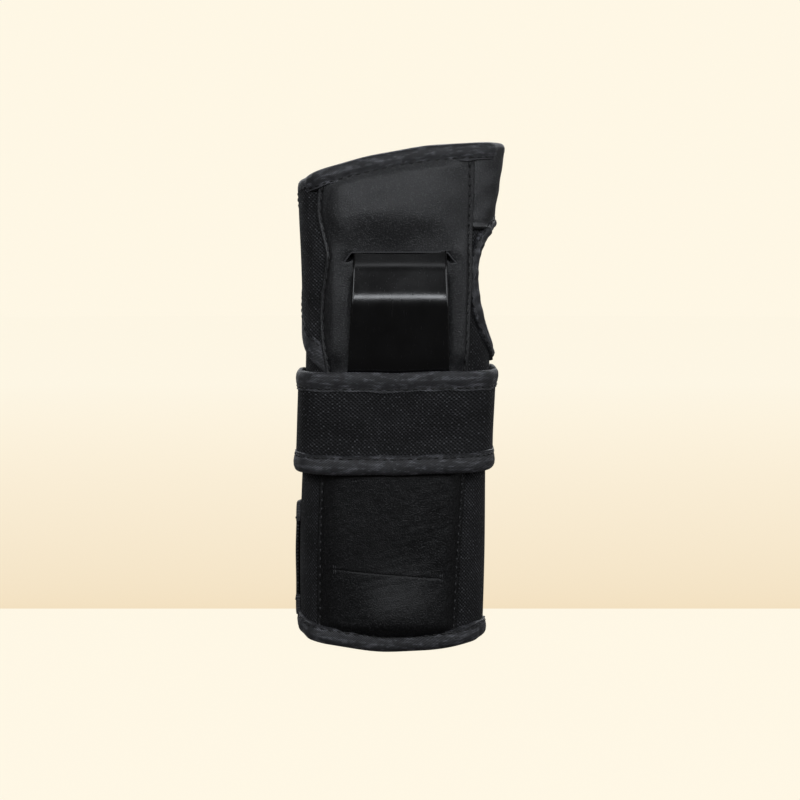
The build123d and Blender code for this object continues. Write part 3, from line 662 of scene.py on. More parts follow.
FLAP_EDGE = back(-27.8, 95.0)
STILL_EDGE = round_little(-28.3, 95.0)
SIDE = QUARTER
HOLE_KNOTS = [(-8.0, 156.5), (-14.0, 150.5), (-16.6, 142.0), (-16.4, 133.0), (-14.4, 125.0), (-10.2, 118.0),
              (-4.0, 113.4), (3.0, 111.6), (9.5, 114.0), (13.6, 121.0), (16.4, 130.0), (19.0, 140.0),
              (20.6, 148.5), (17.6, 154.8), (10.0, 157.6), (1.0, 158.2)]


def closed_curve(knots, steps=6):
    """A smooth closed curve through knots."""
    knots = np.array(knots)
    a, b, c, d = (np.roll(knots, k, axis=0)[:, None] for k in (1, 0, -1, -2))
    t = np.linspace(0, 1, steps, endpoint=False)[None, :, None]
    curve = b + (c - a) * t / 2 + (a - 2.5 * b + 2 * c - d / 2) * t ** 2
    curve = curve + (1.5 * (b - c) + (d - a) / 2) * t ** 3
    return curve.reshape(-1, 2)


HOLE = closed_curve([(SIDE + du, z) for du, z in HOLE_KNOTS])


def grown(outline, by):
    """A closed outline moved outwards by a distance."""
    _, left = heading(outline, closed=True)
    area = np.sum(outline[:, 0] * np.roll(outline[:, 1], -1) - np.roll(outline[:, 0], -1) * outline[:, 1])
    return outline - left * by * np.sign(area)


PANEL_LEFT = edge_line([(95, -25.6), (105.5, -25.9), (114.5, -27.4), (123.5, -28.0), (132.5, -27.6),
                        (141.5, -26.2), (147, -25.4), (155.4, -27.4), (162.6, -28.9), (174.6, -28.2),
                        (190, -27.6)])
PANEL_RIGHT = edge_line([(95, 27.0), (105, 27.4), (120, 28.1), (140, 28.9), (160, 29.2), (182, 29.5),
                         (190, 29.6)])
LOWER_LEFT = edge_line([(0, -29.8), (15, -29.7), (42, -29.4), (62, -28.7), (82, -28.2)])
LOWER_RIGHT = edge_line([(0, 23.2), (12, 23.8), (40, 25.2), (62, 26.7), (82, 27.2)])
SLOT = np.array([(palm(x, z), z) for x, z in
                 ((-15.4, 148.4), (2.0, 148.8), (18.8, 148.4), (21.6, 145.2), (20.8, 144.5), (18.4, 145.9),
                  (17.6, 141.0), (-13.6, 141.0), (-14.8, 146.0), (-17.0, 144.7), (-17.8, 145.4))])


def slit_z(x):
    """Height of the closed slit in the forearm's leather."""
    return 28.9 - 0.083 * x


POCKET = np.array([(palm(x, z), z) for x, z in ((-17.6, 176.0), (21.6, 176.0), (21.6, 22.0), (-17.6, 22.0))])

TOP_STRAP = rounded(
    [(palm(-25.6, 104), 103.6), (-SIDE + 3, 118.5), (round_little(-33, 130), 130.2),
     (round_little(-15, 131), 130.9),
     (round_little(20.2, 137), 136.6), (round_little(25.6, 145), 144.6),
     (round_little(22.6, 173), 173.4),
     (round_little(14, 178), 178.4), (round_little(-30, 173), 172.9), (-SIDE - 1, 171.6), (-SIDE + 5, 173.6),
     (palm(-28.6, 174), 176.5)],
    (16, 10, 30, 7, 7, 5, 8, 20, 8, 8))
CUT_END = -SIDE + 2.6
BOTTOM_STRAP = rounded(
    [(CUT_END, 10.1), (-SIDE, 10.2), (round_little(-30, 10), 10.6), (round_little(0, 8), 8.0),
     (round_little(29.9, 10), 10.2), (round_little(29.9, 47), 46.8), (round_little(10, 48), 49.2),
     (round_little(-31, 52), 52.2), (-SIDE, 53.2), (CUT_END, 53.3)],
    (20, 20, 20, 11, 11, 20, 20, 20))
BAND_START = round_little(-33.9, 86)
BAND_END = float(u_at(-34.8, 86.0, BACK, 4.0))
BAND = rounded(
    [(BAND_START, 86.0), (BAND_START, 66.0), (-SIDE, 67.4), (palm(0, 67), 66.6), (SIDE, 68.6),
     (back(0, 67), 67.2),
     (BAND_END, 67.6), (BAND_END, 104.2), (back(0, 104), 104.9), (SIDE, 105.4), (palm(0, 104), 104.2),
     (-SIDE, 104.6), (BAND_START, 104.0), (BAND_START, 86.0)],
    (3.5, 20, 40, 40, 40, 9, 9, 40, 40, 40, 20, 3.5))
PATCH = rounded(
    [(back(31.0, 85), 85.0), (back(31.0, 85), 71.8), (back(-28.4, 85), 71.8), (back(-28.4, 85), 98.5),
     (back(31.0, 85), 98.5), (back(31.0, 85), 85.0)], (1.5, 1.5, 1.5, 1.5))

# %% Distances off the mesh cloth
def ease(value):
    t = np.clip(value, 0.0, 1.0)
    return t * t * (3 - 2 * t)


def hill(value, middle, width):
    return np.exp(-((value - middle) / width) ** 2)


def reach(u, z, half_x, half_y, squareness):
    """Distance off the mesh cloth to a wider, squarer oval, found by halving."""
    u, z, half_x, half_y = np.broadcast_arrays(np.asarray(u, float), z, half_x, half_y)
    low, high = np.zeros(u.shape), np.full(u.shape, 16.0)
    centre = (smooth(z, LEVELS, THUMB_SIDE_X) + smooth(z, LEVELS, LITTLE_SIDE_X)) / 2
    for _ in range(16):
        middle = (low + high) / 2
        point = skin(u, z, middle)
        outside = (np.abs((point[..., 0] - centre) / half_x) ** squareness
                   + np.abs((point[..., 1] - MIDDLE_Y) / half_y) ** squareness) > 1
        high, low = np.where(outside, middle, high), np.where(outside, low, middle)
    return middle


STRAP_T = 1.5
STRAP_BACK = 2.7
STRAP_SIDE = 0.9
SEWN_SIDE = 0.25


def little_strap_rise(u, z):
    """Inner side of a strap that runs from the palm round the little finger's side onto the back."""
    over_side = ease((-SIDE + 9 - u) / 9)
    over_back = ease((-SIDE - 6 - u) / 16)
    lip = np.where(z > 80, PANEL_LEFT(np.maximum(z, 97.0)), -SIDE + 9.5)
    sunk = 1.5 * ease(1 - (lip - u) / 6)
    return 0.05 + (SEWN_SIDE - 0.05) * over_side + (STRAP_BACK - SEWN_SIDE) * over_back - sunk


def band_rise(u, z):
    """Inner side of the middle band: over the splint on the palm, close at the sides, over the pile."""
    half_x = (smooth(z, LEVELS, THUMB_SIDE_X) - smooth(z, LEVELS, LITTLE_SIDE_X)) / 2 + 1.0
    half_y = np.interp(z, (66.0, 80.0, 94.0, 105.0), (26.6, 27.4, 29.6, 31.0))
    front = reach(u, z, half_x, half_y, 4.6)
    share = ease((SIDE - np.abs(u)) / 9)
    rear = STRAP_SIDE + (STRAP_BACK - STRAP_SIDE) * ease((np.abs(u) - SIDE - 4) / 16)
    start = np.where(u < -SIDE, STRAP_SIDE * 0.4, rear)
    return np.where(np.abs(u) < SIDE, front * share + STRAP_SIDE * (1 - share), start)


def rumple(u, z, size, seed):
    """Unevenness of hand-made cloth, between about -1 and 1."""
    rng = np.random.default_rng(seed)
    total = 0.0
    for _ in range(7):
        angle, length = rng.uniform(0, math.pi), size * rng.uniform(0.6, 1.7)
        along = u * math.cos(angle) + z * math.sin(angle)
        total = total + np.sin(math.tau * along / length + rng.uniform(0, math.tau))
    return total / 4


SEAM_IN = 1.6
RUMPLE_SIZE = 17


def panel_puff(u, z):
    """Outer side of the palm's leather: low at its stitched lips, full at the pad, falling to the slot."""
    lip, rise, fullness, cheeks, pocket_depth, taped = 1.6, 2.0, 2.9, 1.5, 1.6, 1.9
    full_z, slot_z, pocket_z = 163, 143, 141
    x = skin(u, z)[..., 0]
    inset = np.minimum(u - PANEL_LEFT(z), PANEL_RIGHT(z) - u)
    slope = 15 - 5.5 * ease((z - slot_z) / 7)
    height = lip + rise * ease((inset - SEAM_IN) / slope) - 0.6 * hill(inset, SEAM_IN, 0.5)
    below_brow = ease((top_edge(u) - z - 4) / 17)
    swelling = np.where(z > full_z, hill(z, full_z, 18), hill(z, full_z, 9.5)) * below_brow
    height = height + fullness * swelling * hill(x, -2.5, 18.0) * ease((inset - 1.5) / 6)
    beside = hill(x, -21.4, 3.4) + hill(x, 24.2, 2.8)
    height = height + cheeks * beside * ease((z - 104) / 8) * ease((158 - z) / 12)
    behind_splint = ease((19.5 - np.abs(x - 2)) / 4) * ease((pocket_z - z) / 5)
    height = height - pocket_depth * behind_splint + 0.13 * rumple(u, z, RUMPLE_SIZE, 5) * ease(inset / 8)
    return taped + (height - taped) * ease((top_edge(u) - z - 3.4) / 5)


def lower_puff(u, z):
    """Outer side of the forearm's leather: low at its lips, full over the splint, flared at its foot."""
    lip, rise, flare, slit_depth, taped = 0.95, 2.55, 3.7, 0.18, 1.5
    flare_z = 11
    x = skin(u, z)[..., 0]
    inset = np.minimum(u - LOWER_LEFT(z), LOWER_RIGHT(z) - u)
    slope = np.minimum((u - LOWER_LEFT(z)) / 12, (LOWER_RIGHT(z) - u) / 6.5)
    height = lip + rise * ease(slope) - 0.3 * hill(inset, 1.5, 0.5)
    foot = np.where(z > flare_z, hill(z, flare_z, 13), hill(z, flare_z, 6))
    height = height + flare * foot * ease((20 - np.abs(x - 2)) / 16)
    on_slit = ease((19.5 - np.abs(x + 2.6)) / 1.5)
    height = height - slit_depth * hill(z - slit_z(x), 0.0, 0.3) * on_slit
    wrinkles = 0.12 * rumple(u, z, RUMPLE_SIZE, 9) + 0.05 * rumple(u, z * 2.2, 7, 11)
    above_tape = ease((z - cuff_edge(u) - 3.4) / 5)
    return taped + (height + wrinkles * ease(inset / 8) - taped) * above_tape


# %% [markdown]
# ## Threads and piles with Geometry Nodes
# Stitches repeat, so one tree lays a small grain-shaped stitch at every step of a path. Pile repeats too:
# the second tree stands small bent threads on a surface. The trees' inputs are set by socket, then the
# result is kept.

# %% The two trees
def new_tree(name, sockets):
    tree = bpy.data.node_groups.new(name, "GeometryNodeTree")
    tree.interface.new_socket("Geometry", in_out="INPUT", socket_type="NodeSocketGeometry")
    for label, kind in sockets:
        tree.interface.new_socket(label, in_out="INPUT", socket_type=kind)
    tree.interface.new_socket("Geometry", in_out="OUTPUT", socket_type="NodeSocketGeometry")
    return tree, tree.nodes.new("NodeGroupInput"), tree.nodes.new("NodeGroupOutput")


def wire(tree, kind, settings, *numbered, **named):
    """A node with its settings, fed from sockets or plain values. An input given as None is left alone."""
    node = tree.nodes.new(kind)
    for key, setting in settings.items():
        setattr(node, key, setting)
    named = {key.replace("_", " "): given for key, given in named.items()}
    for key, given in list(enumerate(numbered)) + list(named.items()):
        if given is None:
            continue
        socket = node.inputs[key]
        if isinstance(given, bpy.types.NodeSocket):
            tree.links.new(given, socket)
        else:
            socket.default_value = given
    return node


def handed_out(tree, geometry, given, result):
    """The tree, once its geometry has its finish and is what the tree gives back."""
    done = wire(tree, "GeometryNodeSetMaterial", {}, Geometry=geometry, Material=given.outputs["Finish"])
    tree.links.new(done.outputs[0], result.inputs[0])
    return tree


NUMBER, WHOLE, MATERIAL = "NodeSocketFloat", "NodeSocketInt", "NodeSocketMaterial"


def stitch_tree():
    """Stitches of one length, evenly along every edge of a mesh."""
    sockets = [("Pitch", NUMBER), ("Length", NUMBER), ("Radius", NUMBER), ("Finish", MATERIAL)]
    tree, given, result = new_tree("Stitches", sockets)
    line = wire(tree, "GeometryNodeMeshToCurve", {}, Mesh=given.outputs["Geometry"])
    steps = wire(tree, "GeometryNodeResampleCurve", {"mode": "LENGTH"}, Curve=line.outputs[0],
                 Length=given.outputs["Pitch"])
    grain = wire(tree, "GeometryNodeMeshUVSphere", {}, Segments=10, Rings=7, Radius=1.0)
    tangent = wire(tree, "GeometryNodeInputTangent", {})
    aim = wire(tree, "FunctionNodeAlignRotationToVector", {"axis": "X"}, Vector=tangent.outputs[0])
    half = wire(tree, "ShaderNodeMath", {"operation": "MULTIPLY"}, given.outputs["Length"], 0.5)
    uneven = wire(tree, "FunctionNodeRandomValue", {"data_type": "FLOAT"}, None, None, 0.86, 1.12, Seed=4)
    length = wire(tree, "ShaderNodeMath", {"operation": "MULTIPLY"}, half.outputs[0], uneven.outputs[1])
    size = wire(tree, "ShaderNodeCombineXYZ", {}, X=length.outputs[0], Y=given.outputs["Radius"],
                Z=given.outputs["Radius"])
    sewn = wire(tree, "GeometryNodeInstanceOnPoints", {}, Points=steps.outputs[0], Instance=grain.outputs[0],
                Rotation=aim.outputs[0], Scale=size.outputs[0])
    real = wire(tree, "GeometryNodeRealizeInstances", {}, Geometry=sewn.outputs[0])
    soft = wire(tree, "GeometryNodeSetShadeSmooth", {}, Geometry=real.outputs[0])
    return handed_out(tree, soft.outputs[0], given, result)


def pile_tree():
    """Small bent threads that stand on the faces of a mesh."""
    sockets = [("Density", NUMBER), ("Seed", WHOLE), ("Size", NUMBER), ("Sweep", NUMBER), ("Thread", NUMBER),
               ("Finish", MATERIAL)]
    tree, given, result = new_tree("Pile", sockets)
    spots = wire(tree, "GeometryNodeDistributePointsOnFaces", {}, Mesh=given.outputs["Geometry"],
                 Density=given.outputs["Density"], Seed=given.outputs["Seed"])
    arc = wire(tree, "GeometryNodeCurveArc", {}, Resolution=5, Radius=given.outputs["Size"],
               Sweep_Angle=given.outputs["Sweep"])
    ring = wire(tree, "GeometryNodeCurvePrimitiveCircle", {}, Resolution=3, Radius=given.outputs["Thread"])
    thread = wire(tree, "GeometryNodeCurveToMesh", {}, Curve=arc.outputs[0], Profile_Curve=ring.outputs[0])
    upright = wire(tree, "GeometryNodeTransform", {}, Geometry=thread.outputs[0],
                   Rotation=(math.pi / 2, 0.0, 0.0))
    turn = wire(tree, "FunctionNodeRandomValue", {"data_type": "FLOAT_VECTOR"}, (-0.5, -0.5, 0.0),
                (0.5, 0.5, math.tau), Seed=8)
    spun = wire(tree, "FunctionNodeRotateRotation", {"rotation_space": "LOCAL"}, spots.outputs["Rotation"],
                turn.outputs[0])
    uneven = wire(tree, "FunctionNodeRandomValue", {"data_type": "FLOAT"}, None, None, 0.6, 1.35, Seed=15)
    stood = wire(tree, "GeometryNodeInstanceOnPoints", {}, Points=spots.outputs["Points"],
                 Instance=upright.outputs[0], Rotation=spun.outputs[0], Scale=uneven.outputs[1])
    real = wire(tree, "GeometryNodeRealizeInstances", {}, Geometry=stood.outputs[0])
    return handed_out(tree, real.outputs[0], given, result)


STITCHES, PILE = stitch_tree(), pile_tree()


def made_real(piece, tree, finish, **given):
    """The tree's result kept as the piece's own mesh."""
    bpy.context.view_layer.update()
    modifier = piece.modifiers.new(tree.name, "NODES")
    modifier.node_group = tree
    given["Finish"] = finish
    for item in tree.interface.items_tree:
        if item.item_type == "SOCKET" and item.in_out == "INPUT" and item.name in given:
            modifier[item.identifier] = given[item.name]
    evaluated = piece.evaluated_get(bpy.context.evaluated_depsgraph_get())
    made = bpy.data.meshes.new_from_object(evaluated)
    piece.modifiers.remove(modifier)
    piece.data = made
    return piece


def sewing(name, lines, finish=THREAD, pitch=3.2, length=2.3, radius=0.34):
    """Rows of stitches, each row a list of points in millimetres."""
    points, edges = [], []
    for line in lines:
        start = len(points)
        points += [tuple(point) for point in line * MM]
        edges += [(i, i + 1) for i in range(start, len(points) - 1)]
    mesh = bpy.data.meshes.new(name)
    mesh.from_pydata(points, edges, [])
    sizes = {"Pitch": pitch * MM, "Length": length * MM, "Radius": radius * MM}
    return made_real(placed(name, mesh), STITCHES, finish, **sizes)


def row(path, height):
    """Points of a stitch row laid at a height over a path of places."""
    path, _ = evenly(path, 0.7)
    return skin(path[:, 0], path[:, 1], height(path[:, 0], path[:, 1]))


# %% [markdown]
# ## Who carries what
# Sewn pieces ride on one body. Cloth that crosses a hinge only has its place baked in; each kind of
# crossing is written down once, with its two bodies and two points, and given to every piece that crosses
# there.

# %% Crossings
def at(x, y, z=95.0):
    return (x * MM, y * MM, z * MM)


ON_SLEEVE, ON_FLAP = ("sleeve",), ("back_flap",)
THUMB_FOLD = ("sleeve", "back_flap", at(36, MIDDLE_Y - 8), at(36, MIDDLE_Y + 8))
TOP_FOLD = ("sleeve", "top_strap", at(-38, MIDDLE_Y - 8), at(-38, MIDDLE_Y + 12))
BOTTOM_FOLD = ("sleeve", "bottom_strap", at(-38, MIDDLE_Y - 8), at(-38, MIDDLE_Y + 12))
TOP_TAB_FOLD = ("top_strap", "top_tab", at(-14, 30), at(-6, 30))
BOTTOM_TAB_FOLD = ("bottom_strap", "bottom_tab", at(-14, 31), at(-6, 31))
MIDDLE_FOLD = ("back_flap", "middle_strap", at(29, 31), at(18, 31))
MIDDLE_TAB_FOLD = ("middle_strap", "middle_tab", at(0, 31), at(-10, 31))


def carried(crossing, *made, stands_for=(), slot=None):
    """Puts finished pieces on their body; a piece on a crossing only has its place baked in."""
    for piece in made:
        if len(crossing) == 1:
            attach(piece, crossing[0])
        else:
            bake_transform(piece)
    if stands_for:
        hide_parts(*stands_for)


def declare(cloth, *others, held="stretched"):
    """Reads a cloth's own cloth coordinates, and does nothing more with them."""
    mesh = cloth.data
    lay = np.zeros(len(mesh.vertices) * 3)
    mesh.attributes["lay"].data.foreach_get("vector", lay)
    lay = lay.reshape(-1, 3)


def bound(name, path, side, lift, crossing, node, cloth, width, puff, closed=False, seed=1, rows=True,
          pucker=0.25):
    """A tape with its stitch row, carried together."""
    made = [tape(name, path, side, lift, TWILL, width, cloth, puff, closed, seed, pucker)]
    if rows:
        path, _ = evenly(path)
        _, left = heading(path, closed)
        inner = path + side * left * of(width, path[:, :1], path[:, 1:]) * STITCH_IN
        if closed:
            inner = np.concatenate([inner, inner[:1]])
        line = row(inner, lambda u, z: lift(u, z) + of(cloth, u) / 2 + of(puff, u) * 0.36)
        made.append(sewing(name + "_stitches", [line]))
    carried(crossing, *made, stands_for=(node,) if node else (), slot="tape")
    return made


# %% [markdown]
# ## The sleeve
# The wall is three layers: brushed lining, foam and mesh cloth. It is cut at the middle of the palm, and
# it ends at the opening near the little finger's side.

# %% Lining, foam and mesh
WALLS = (("lining", -4.0, -4.8, LINING, "lining"), ("foam", -0.8, -4.0, FOAM, "foam"),
         ("mesh", 0.0, -0.8, NET, "mesh_cloth"))
HALVES = (("palm", STILL_EDGE, 0.0, ON_SLEEVE), ("back", 0.0, FLAP_EDGE, THUMB_FOLD))
mesh_pieces = []
for layer, outer, inner, finish, slot in WALLS:
    for part, low, high, crossing in HALVES:
        rim = 0.7 if layer == "mesh" else 1.2
        step = 1.0 if layer == "mesh" else 1.8
        u, z = grid(low, high, lambda p: cuff_edge(p) + rim, lambda p: top_edge(p, rim), step)
        keep = cut_out(u, z, grown(HOLE, 0.6)) if part == "back" else None
        outer_face = outer - 0.25 * hill(z, 86, 9) if layer == "mesh" else outer
        piece = slab(f"{part}_{layer}", u, z, outer_face, inner, finish, keep, flush=True)
        carried(crossing, piece, stands_for=(f"{part}_{layer}",), slot=slot)
        if layer == "mesh":
            mesh_pieces.append(piece)
        if layer == "lining":
            declare(piece)

u, z = grid(back(15.0, 90), back(-17.0, 90), 24.0, 150.0, 3.0)
stay = slab("back_splint", u, z, -1.7, -2.9, PLASTIC)
carried(ON_FLAP, stay, stands_for=("back_splint",), slot="splint_plastic")
print("sleeve wall made")

# %% Tape round the rims, the thumb hole and the opening
def rim_thickness(u):
    """Wall and leather together under a rim's tape: its inner face stays at the lining."""
    return 5.3 + 1.5 * ease((37 - np.abs(u)) / 7)


def rim_lift(u, z):
    return rim_thickness(u) / 2 - 4.8


def hole_lift(u, z):
    return -2.1 + 0.5 * ease((z - 150) / 6)


rims = []
for part, low, high, crossing in HALVES:
    line = np.linspace(low, high, 200)
    cuff = np.stack([line, cuff_edge(line)], 1)
    brow = np.stack([line, top_edge(line)], 1)
    for kind, path, side, width, seed in (("cuff", cuff, 1, 6.2, 3), ("top", brow, -1, 5.8, 5)):
        name = f"{part}_{kind}_binding"
        rims += bound(name, path, side, rim_lift, crossing, name, rim_thickness, width, 0.9, seed=seed)

thumb_tape = bound("thumb_hole_binding", HOLE, -1, hole_lift, THUMB_FOLD, "palm_thumb_binding", 5.4, 4.4,
                   1.0, closed=True, seed=8, pucker=0.4)
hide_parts("back_thumb_binding")
for name, edge, side, crossing in (("opening_piping", STILL_EDGE, -1, ON_SLEEVE),
                                   ("flap_piping", FLAP_EDGE, 1, ON_FLAP)):
    line = np.array([(edge, 5.6), (edge, float(top_edge(edge)) - 5)])
    bound(name, line, side, lambda u, z: u * 0 - 2.4, crossing, name, 4.9, 2.6, 0.4, rows=False)
declare(mesh_pieces[0], *[piece for piece in rims if piece.name.startswith("palm")])
declare(mesh_pieces[1], *[piece for piece in rims if piece.name.startswith("back")], *thumb_tape)

# %% [markdown]
# ## Palm pads and leather
# Each leather panel is sewn down along its lips over a foam pad with a pocket for the splint. The leather is
# low at the seam and full over the pad, and at the slot it is pushed out by the splint that leaves there.

# %% Palm panel and forearm panel
def panel(left, right, low, high, step, finer=()):
    """A grid of places between two side edges, with extra rows at the finer heights."""
    up = np.unique(np.concatenate([np.arange(low, high + step, step), finer]))
    even = np.linspace(0, 1, int((right(low) - left(low)) / step))
    across = 0.5 * even + 0.25 * (1 - np.cos(math.pi * even))
    z = np.broadcast_to(up[:, None], (len(up), len(across))).copy()
    u = left(z) + (right(z) - left(z)) * across[None, :]
    return u, z


def leather_panel(name, pad_name, left, right, low, high, puff, finish, hole=None, finer=()):
    """A leather skin between two side edges, and the foam pad behind it with the splint's pocket."""
    u, z = panel(left, right, low, high, 0.8, finer)
    z = np.minimum(z, top_edge(u, 1.2))
    z = np.maximum(z, cuff_edge(u) + 1.2)
    keep = None if hole is None else cut_out(u, z, hole)
    outer = puff(u, z)
    skin_piece = slab(name, u, z, outer, outer - 1.0, finish, keep)
    u, z = panel(lambda p: left(p) + 2.5, lambda p: right(p) - 2.5, low + 5, min(high, 176.0), 1.6)
    keep = cut_out(u, z, POCKET)
    pad = slab(pad_name, u, z, np.maximum(puff(u, z) - 1.1, 0.5), 0.05, FOAM, keep)
    carried(ON_SLEEVE, skin_piece, stands_for=(name,), slot="leather")
    carried(ON_SLEEVE, pad, stands_for=(pad_name,), slot="foam")


leather_panel("palm_panel", "palm_pad", PANEL_LEFT, PANEL_RIGHT, 97.0, 190.0, panel_puff, LEATHER, SLOT,
              finer=np.arange(144.0, 151.0, 0.35))
leather_panel("forearm_panel", "forearm_pad", LOWER_LEFT, LOWER_RIGHT, 2.0, 80.0, lower_puff,
              SHADED_FOREARM_HIDE, finer=np.arange(25.0, 33.0, 0.3))


def beside(edge, inset, low, high):
    """A line of places that follows a panel's edge."""
    z = np.arange(low, high, 1.0)
    return np.stack([edge(z) + inset, z], 1)


palm_rows = [row(beside(PANEL_LEFT, SEAM_IN, 98, 173), lambda u, z: panel_puff(u, z) + 0.2),
             row(beside(PANEL_RIGHT, -SEAM_IN, 98, 182), lambda u, z: panel_puff(u, z) + 0.15)]
carried(ON_SLEEVE, sewing("palm_panel_stitches", palm_rows, THREAD, 3.6, 2.6, 0.42), slot="leather")
slot_lip = rounded([(palm(-17.7, 145.3), 145.4), (palm(-15.4, 148.4), 148.6), (palm(18.8, 148.4), 148.6),
                    (palm(21.5, 145.1), 145.2)], (1.5, 1.5))
lip_line = row(slot_lip, lambda u, z: panel_puff(u, z) - 0.1)
carried(ON_SLEEVE, sewing("slot_cut_edge", [lip_line], LIGHT_THREAD, 0.8, 1.3, 0.33), slot="leather")
lower_rows = [row(beside(LOWER_LEFT, 1.5, 6, 79), lambda u, z: lower_puff(u, z) + 0.05),
              row(beside(LOWER_RIGHT, -1.5, 6, 79), lambda u, z: lower_puff(u, z) + 0.05)]
carried(ON_SLEEVE, sewing("forearm_panel_stitches", lower_rows, LIGHT_THREAD, 3.1, 1.1, 0.3), slot="leather")
tacks = []
for x, z in ((-21.6, slit_z(-21.6)), (16.6, slit_z(16.6))):
    for shift in (-0.35, 0.35):
        line = np.array([(palm(x + shift, z), z - 0.9), (palm(x + shift, z), z + 0.9)])
        tacks.append(row(line, lambda u, z: lower_puff(u, z) + 0.08))
carried(ON_SLEEVE, sewing("slit_stitches", tacks, LIGHT_THREAD, 2.2, 1.5, 0.16), slot="leather")
print("panels made")

# %% [markdown]
# ## The splint
# The splint lies in its pocket above the slot, bends out of it, stands clear of the heel of the hand and
# goes back in under the band. It is one strip with rounded edges, carried along that bent line.

# %% Bent splint
SPLINT_LOW, SPLINT_HIGH, IN_POCKET = 24.0, 173.0, 0.25
SPLINT_LINE = [(SPLINT_HIGH, IN_POCKET), (149.2, IN_POCKET), (142.4, 4.7), (131.2, 8.5), (108.0, 7.0),
               (84.0, IN_POCKET), (SPLINT_LOW, IN_POCKET)]
EDGE_ROUND, HALF_THICK, TUCK = 0.9, 1.0, 3.5
bent, _ = evenly(rounded(SPLINT_LINE, (5, 10, 13, 26, 24), 16))
ahead, _ = heading(bent)
left_edge = np.interp(bent[:, 0], (24, 104, 128, 146, 173), (-16.2, -17.4, -15.9, -15.2, -15.2))
right_edge = np.interp(bent[:, 0], (24, 84, 104, 128, 146, 173), (17.4, 17.8, 20.2, 19.8, 19.3, 19.3))
corners = [(cx, cy, math.cos(turn + corner * math.pi / 2), math.sin(turn + corner * math.pi / 2))
           for corner, (cx, cy) in enumerate(((1, 1), (-1, 1), (-1, -1), (1, -1)))
           for turn in np.linspace(0, math.pi / 2, 5)]


def splint_section(x0, x1):
    """A flat strip's section with rounded edges: side-to-side place and distance off its middle."""
    ring = []
    for cx, cy, c, s in corners:
        centre = x1 - EDGE_ROUND if cx > 0 else x0 + EDGE_ROUND
        ring.append((centre + EDGE_ROUND * c, cy * 0.2 + 0.8 * s))
        if cx == cy and abs(s - cy) < 1e-6:
            flat = (x1 - x0 - 2 * EDGE_ROUND) / 2
            ring += [((x0 + x1) / 2 + flat * k / 7, cy) for k in range(6 * cy, -7 * cy, -cy)]
    return ring


points, lay = [], []
for (z, stand), (dz, ds), x0, x1 in zip(bent, ahead, left_edge, right_edge):
    base_y = MIDDLE_Y - float(smooth(z, LEVELS, HALF_DEPTH)) - stand
    end = min(1.0, (z - SPLINT_LOW) / 5 + 0.02, (SPLINT_HIGH - z) / 5 + 0.02)
    tuck = TUCK * (1 - math.sqrt(max(0.0, 1 - (1 - max(end, 0.0)) ** 2)))
    for x, off in splint_section(x0 + tuck, x1 - tuck):
        crown = 0.25 * (1 - ((x - 2) / 19) ** 2)
        push = HALF_THICK + off + crown
        points.append((x, base_y + push * dz, z + push * ds))
        lay.append((x, z))
around = len(points) // len(bent)
splint = settle("palm_splint", points, tube_faces(len(bent), around), lay, PLASTIC)
carried(ON_SLEEVE, splint, stands_for=("palm_splint",), slot="splint_plastic")
print("splint made,", len(bent), "sections")

# %% [markdown]
# ## Thumb web, loop panel and the pile on it

# %% Thumb web patch
WEB_LOW = 157.2
WEB_END = back(19.8, 170)
u, z = panel(lambda p: PANEL_RIGHT(p) + 0.15, lambda p: WEB_END + 0 * p, WEB_LOW, 191.0, 0.9)
z = np.minimum(z, top_edge(u, 1.2))
keep = cut_out(u, z, grown(HOLE, 1.2))


def web_puff(u, z):
    taut = 0.18 * rumple(u, z, 11, 21) * ease((z - WEB_LOW) / 5)
    return 1.35 + taut + 0.5 * hill(z, WEB_LOW + 1.0, 0.7) - 0.4 * hill(z, WEB_LOW + 2.2, 0.5)


outer = np.minimum(web_puff(u, z), 1.35 + ease((top_edge(u) - z - 4) / 5))
web = slab("thumb_patch", u, z, outer, outer - 1.0, LIT_WEB_HIDE, keep)
carried(THUMB_FOLD, web, stands_for=("thumb_patch_palm", "thumb_patch_back"), slot="leather")

# %% Loop panel
LOOP_LEFT, LOOP_RIGHT = back(20.8, 95), back(-26.6, 95)
u, z = grid(LOOP_LEFT - 2.6, LOOP_RIGHT + 0.6, lambda p: cuff_edge(p) + 4.0, lambda p: top_edge(p, 4.0), 1.2)
plate = slab("loop_panel", u, z, 1.0, 0.03, LOOPS)
lips = []
for label, low, high in (("thumb", LOOP_LEFT - 2.7, LOOP_LEFT),
                         ("little", LOOP_RIGHT - 0.2, LOOP_RIGHT + 0.8)):
    u, z = grid(low, high, lambda p: cuff_edge(p) + 4.0, lambda p: top_edge(p, 4.0), 0.5)
    middle = (low + high) / 2
    crowned = 1.75 - 0.3 * ((u - middle) / (high - middle)) ** 2
    lips.append(slab(f"loop_panel_lip_{label}", u, z, crowned, 1.02, TWILL))
carried(ON_FLAP, plate, *lips, stands_for=("loop_panel",), slot="loop_pile")
declare(plate, *lips, held="laid")


THREAD_RADIUS, HOOK_SIZE = 0.000055, 0.00034


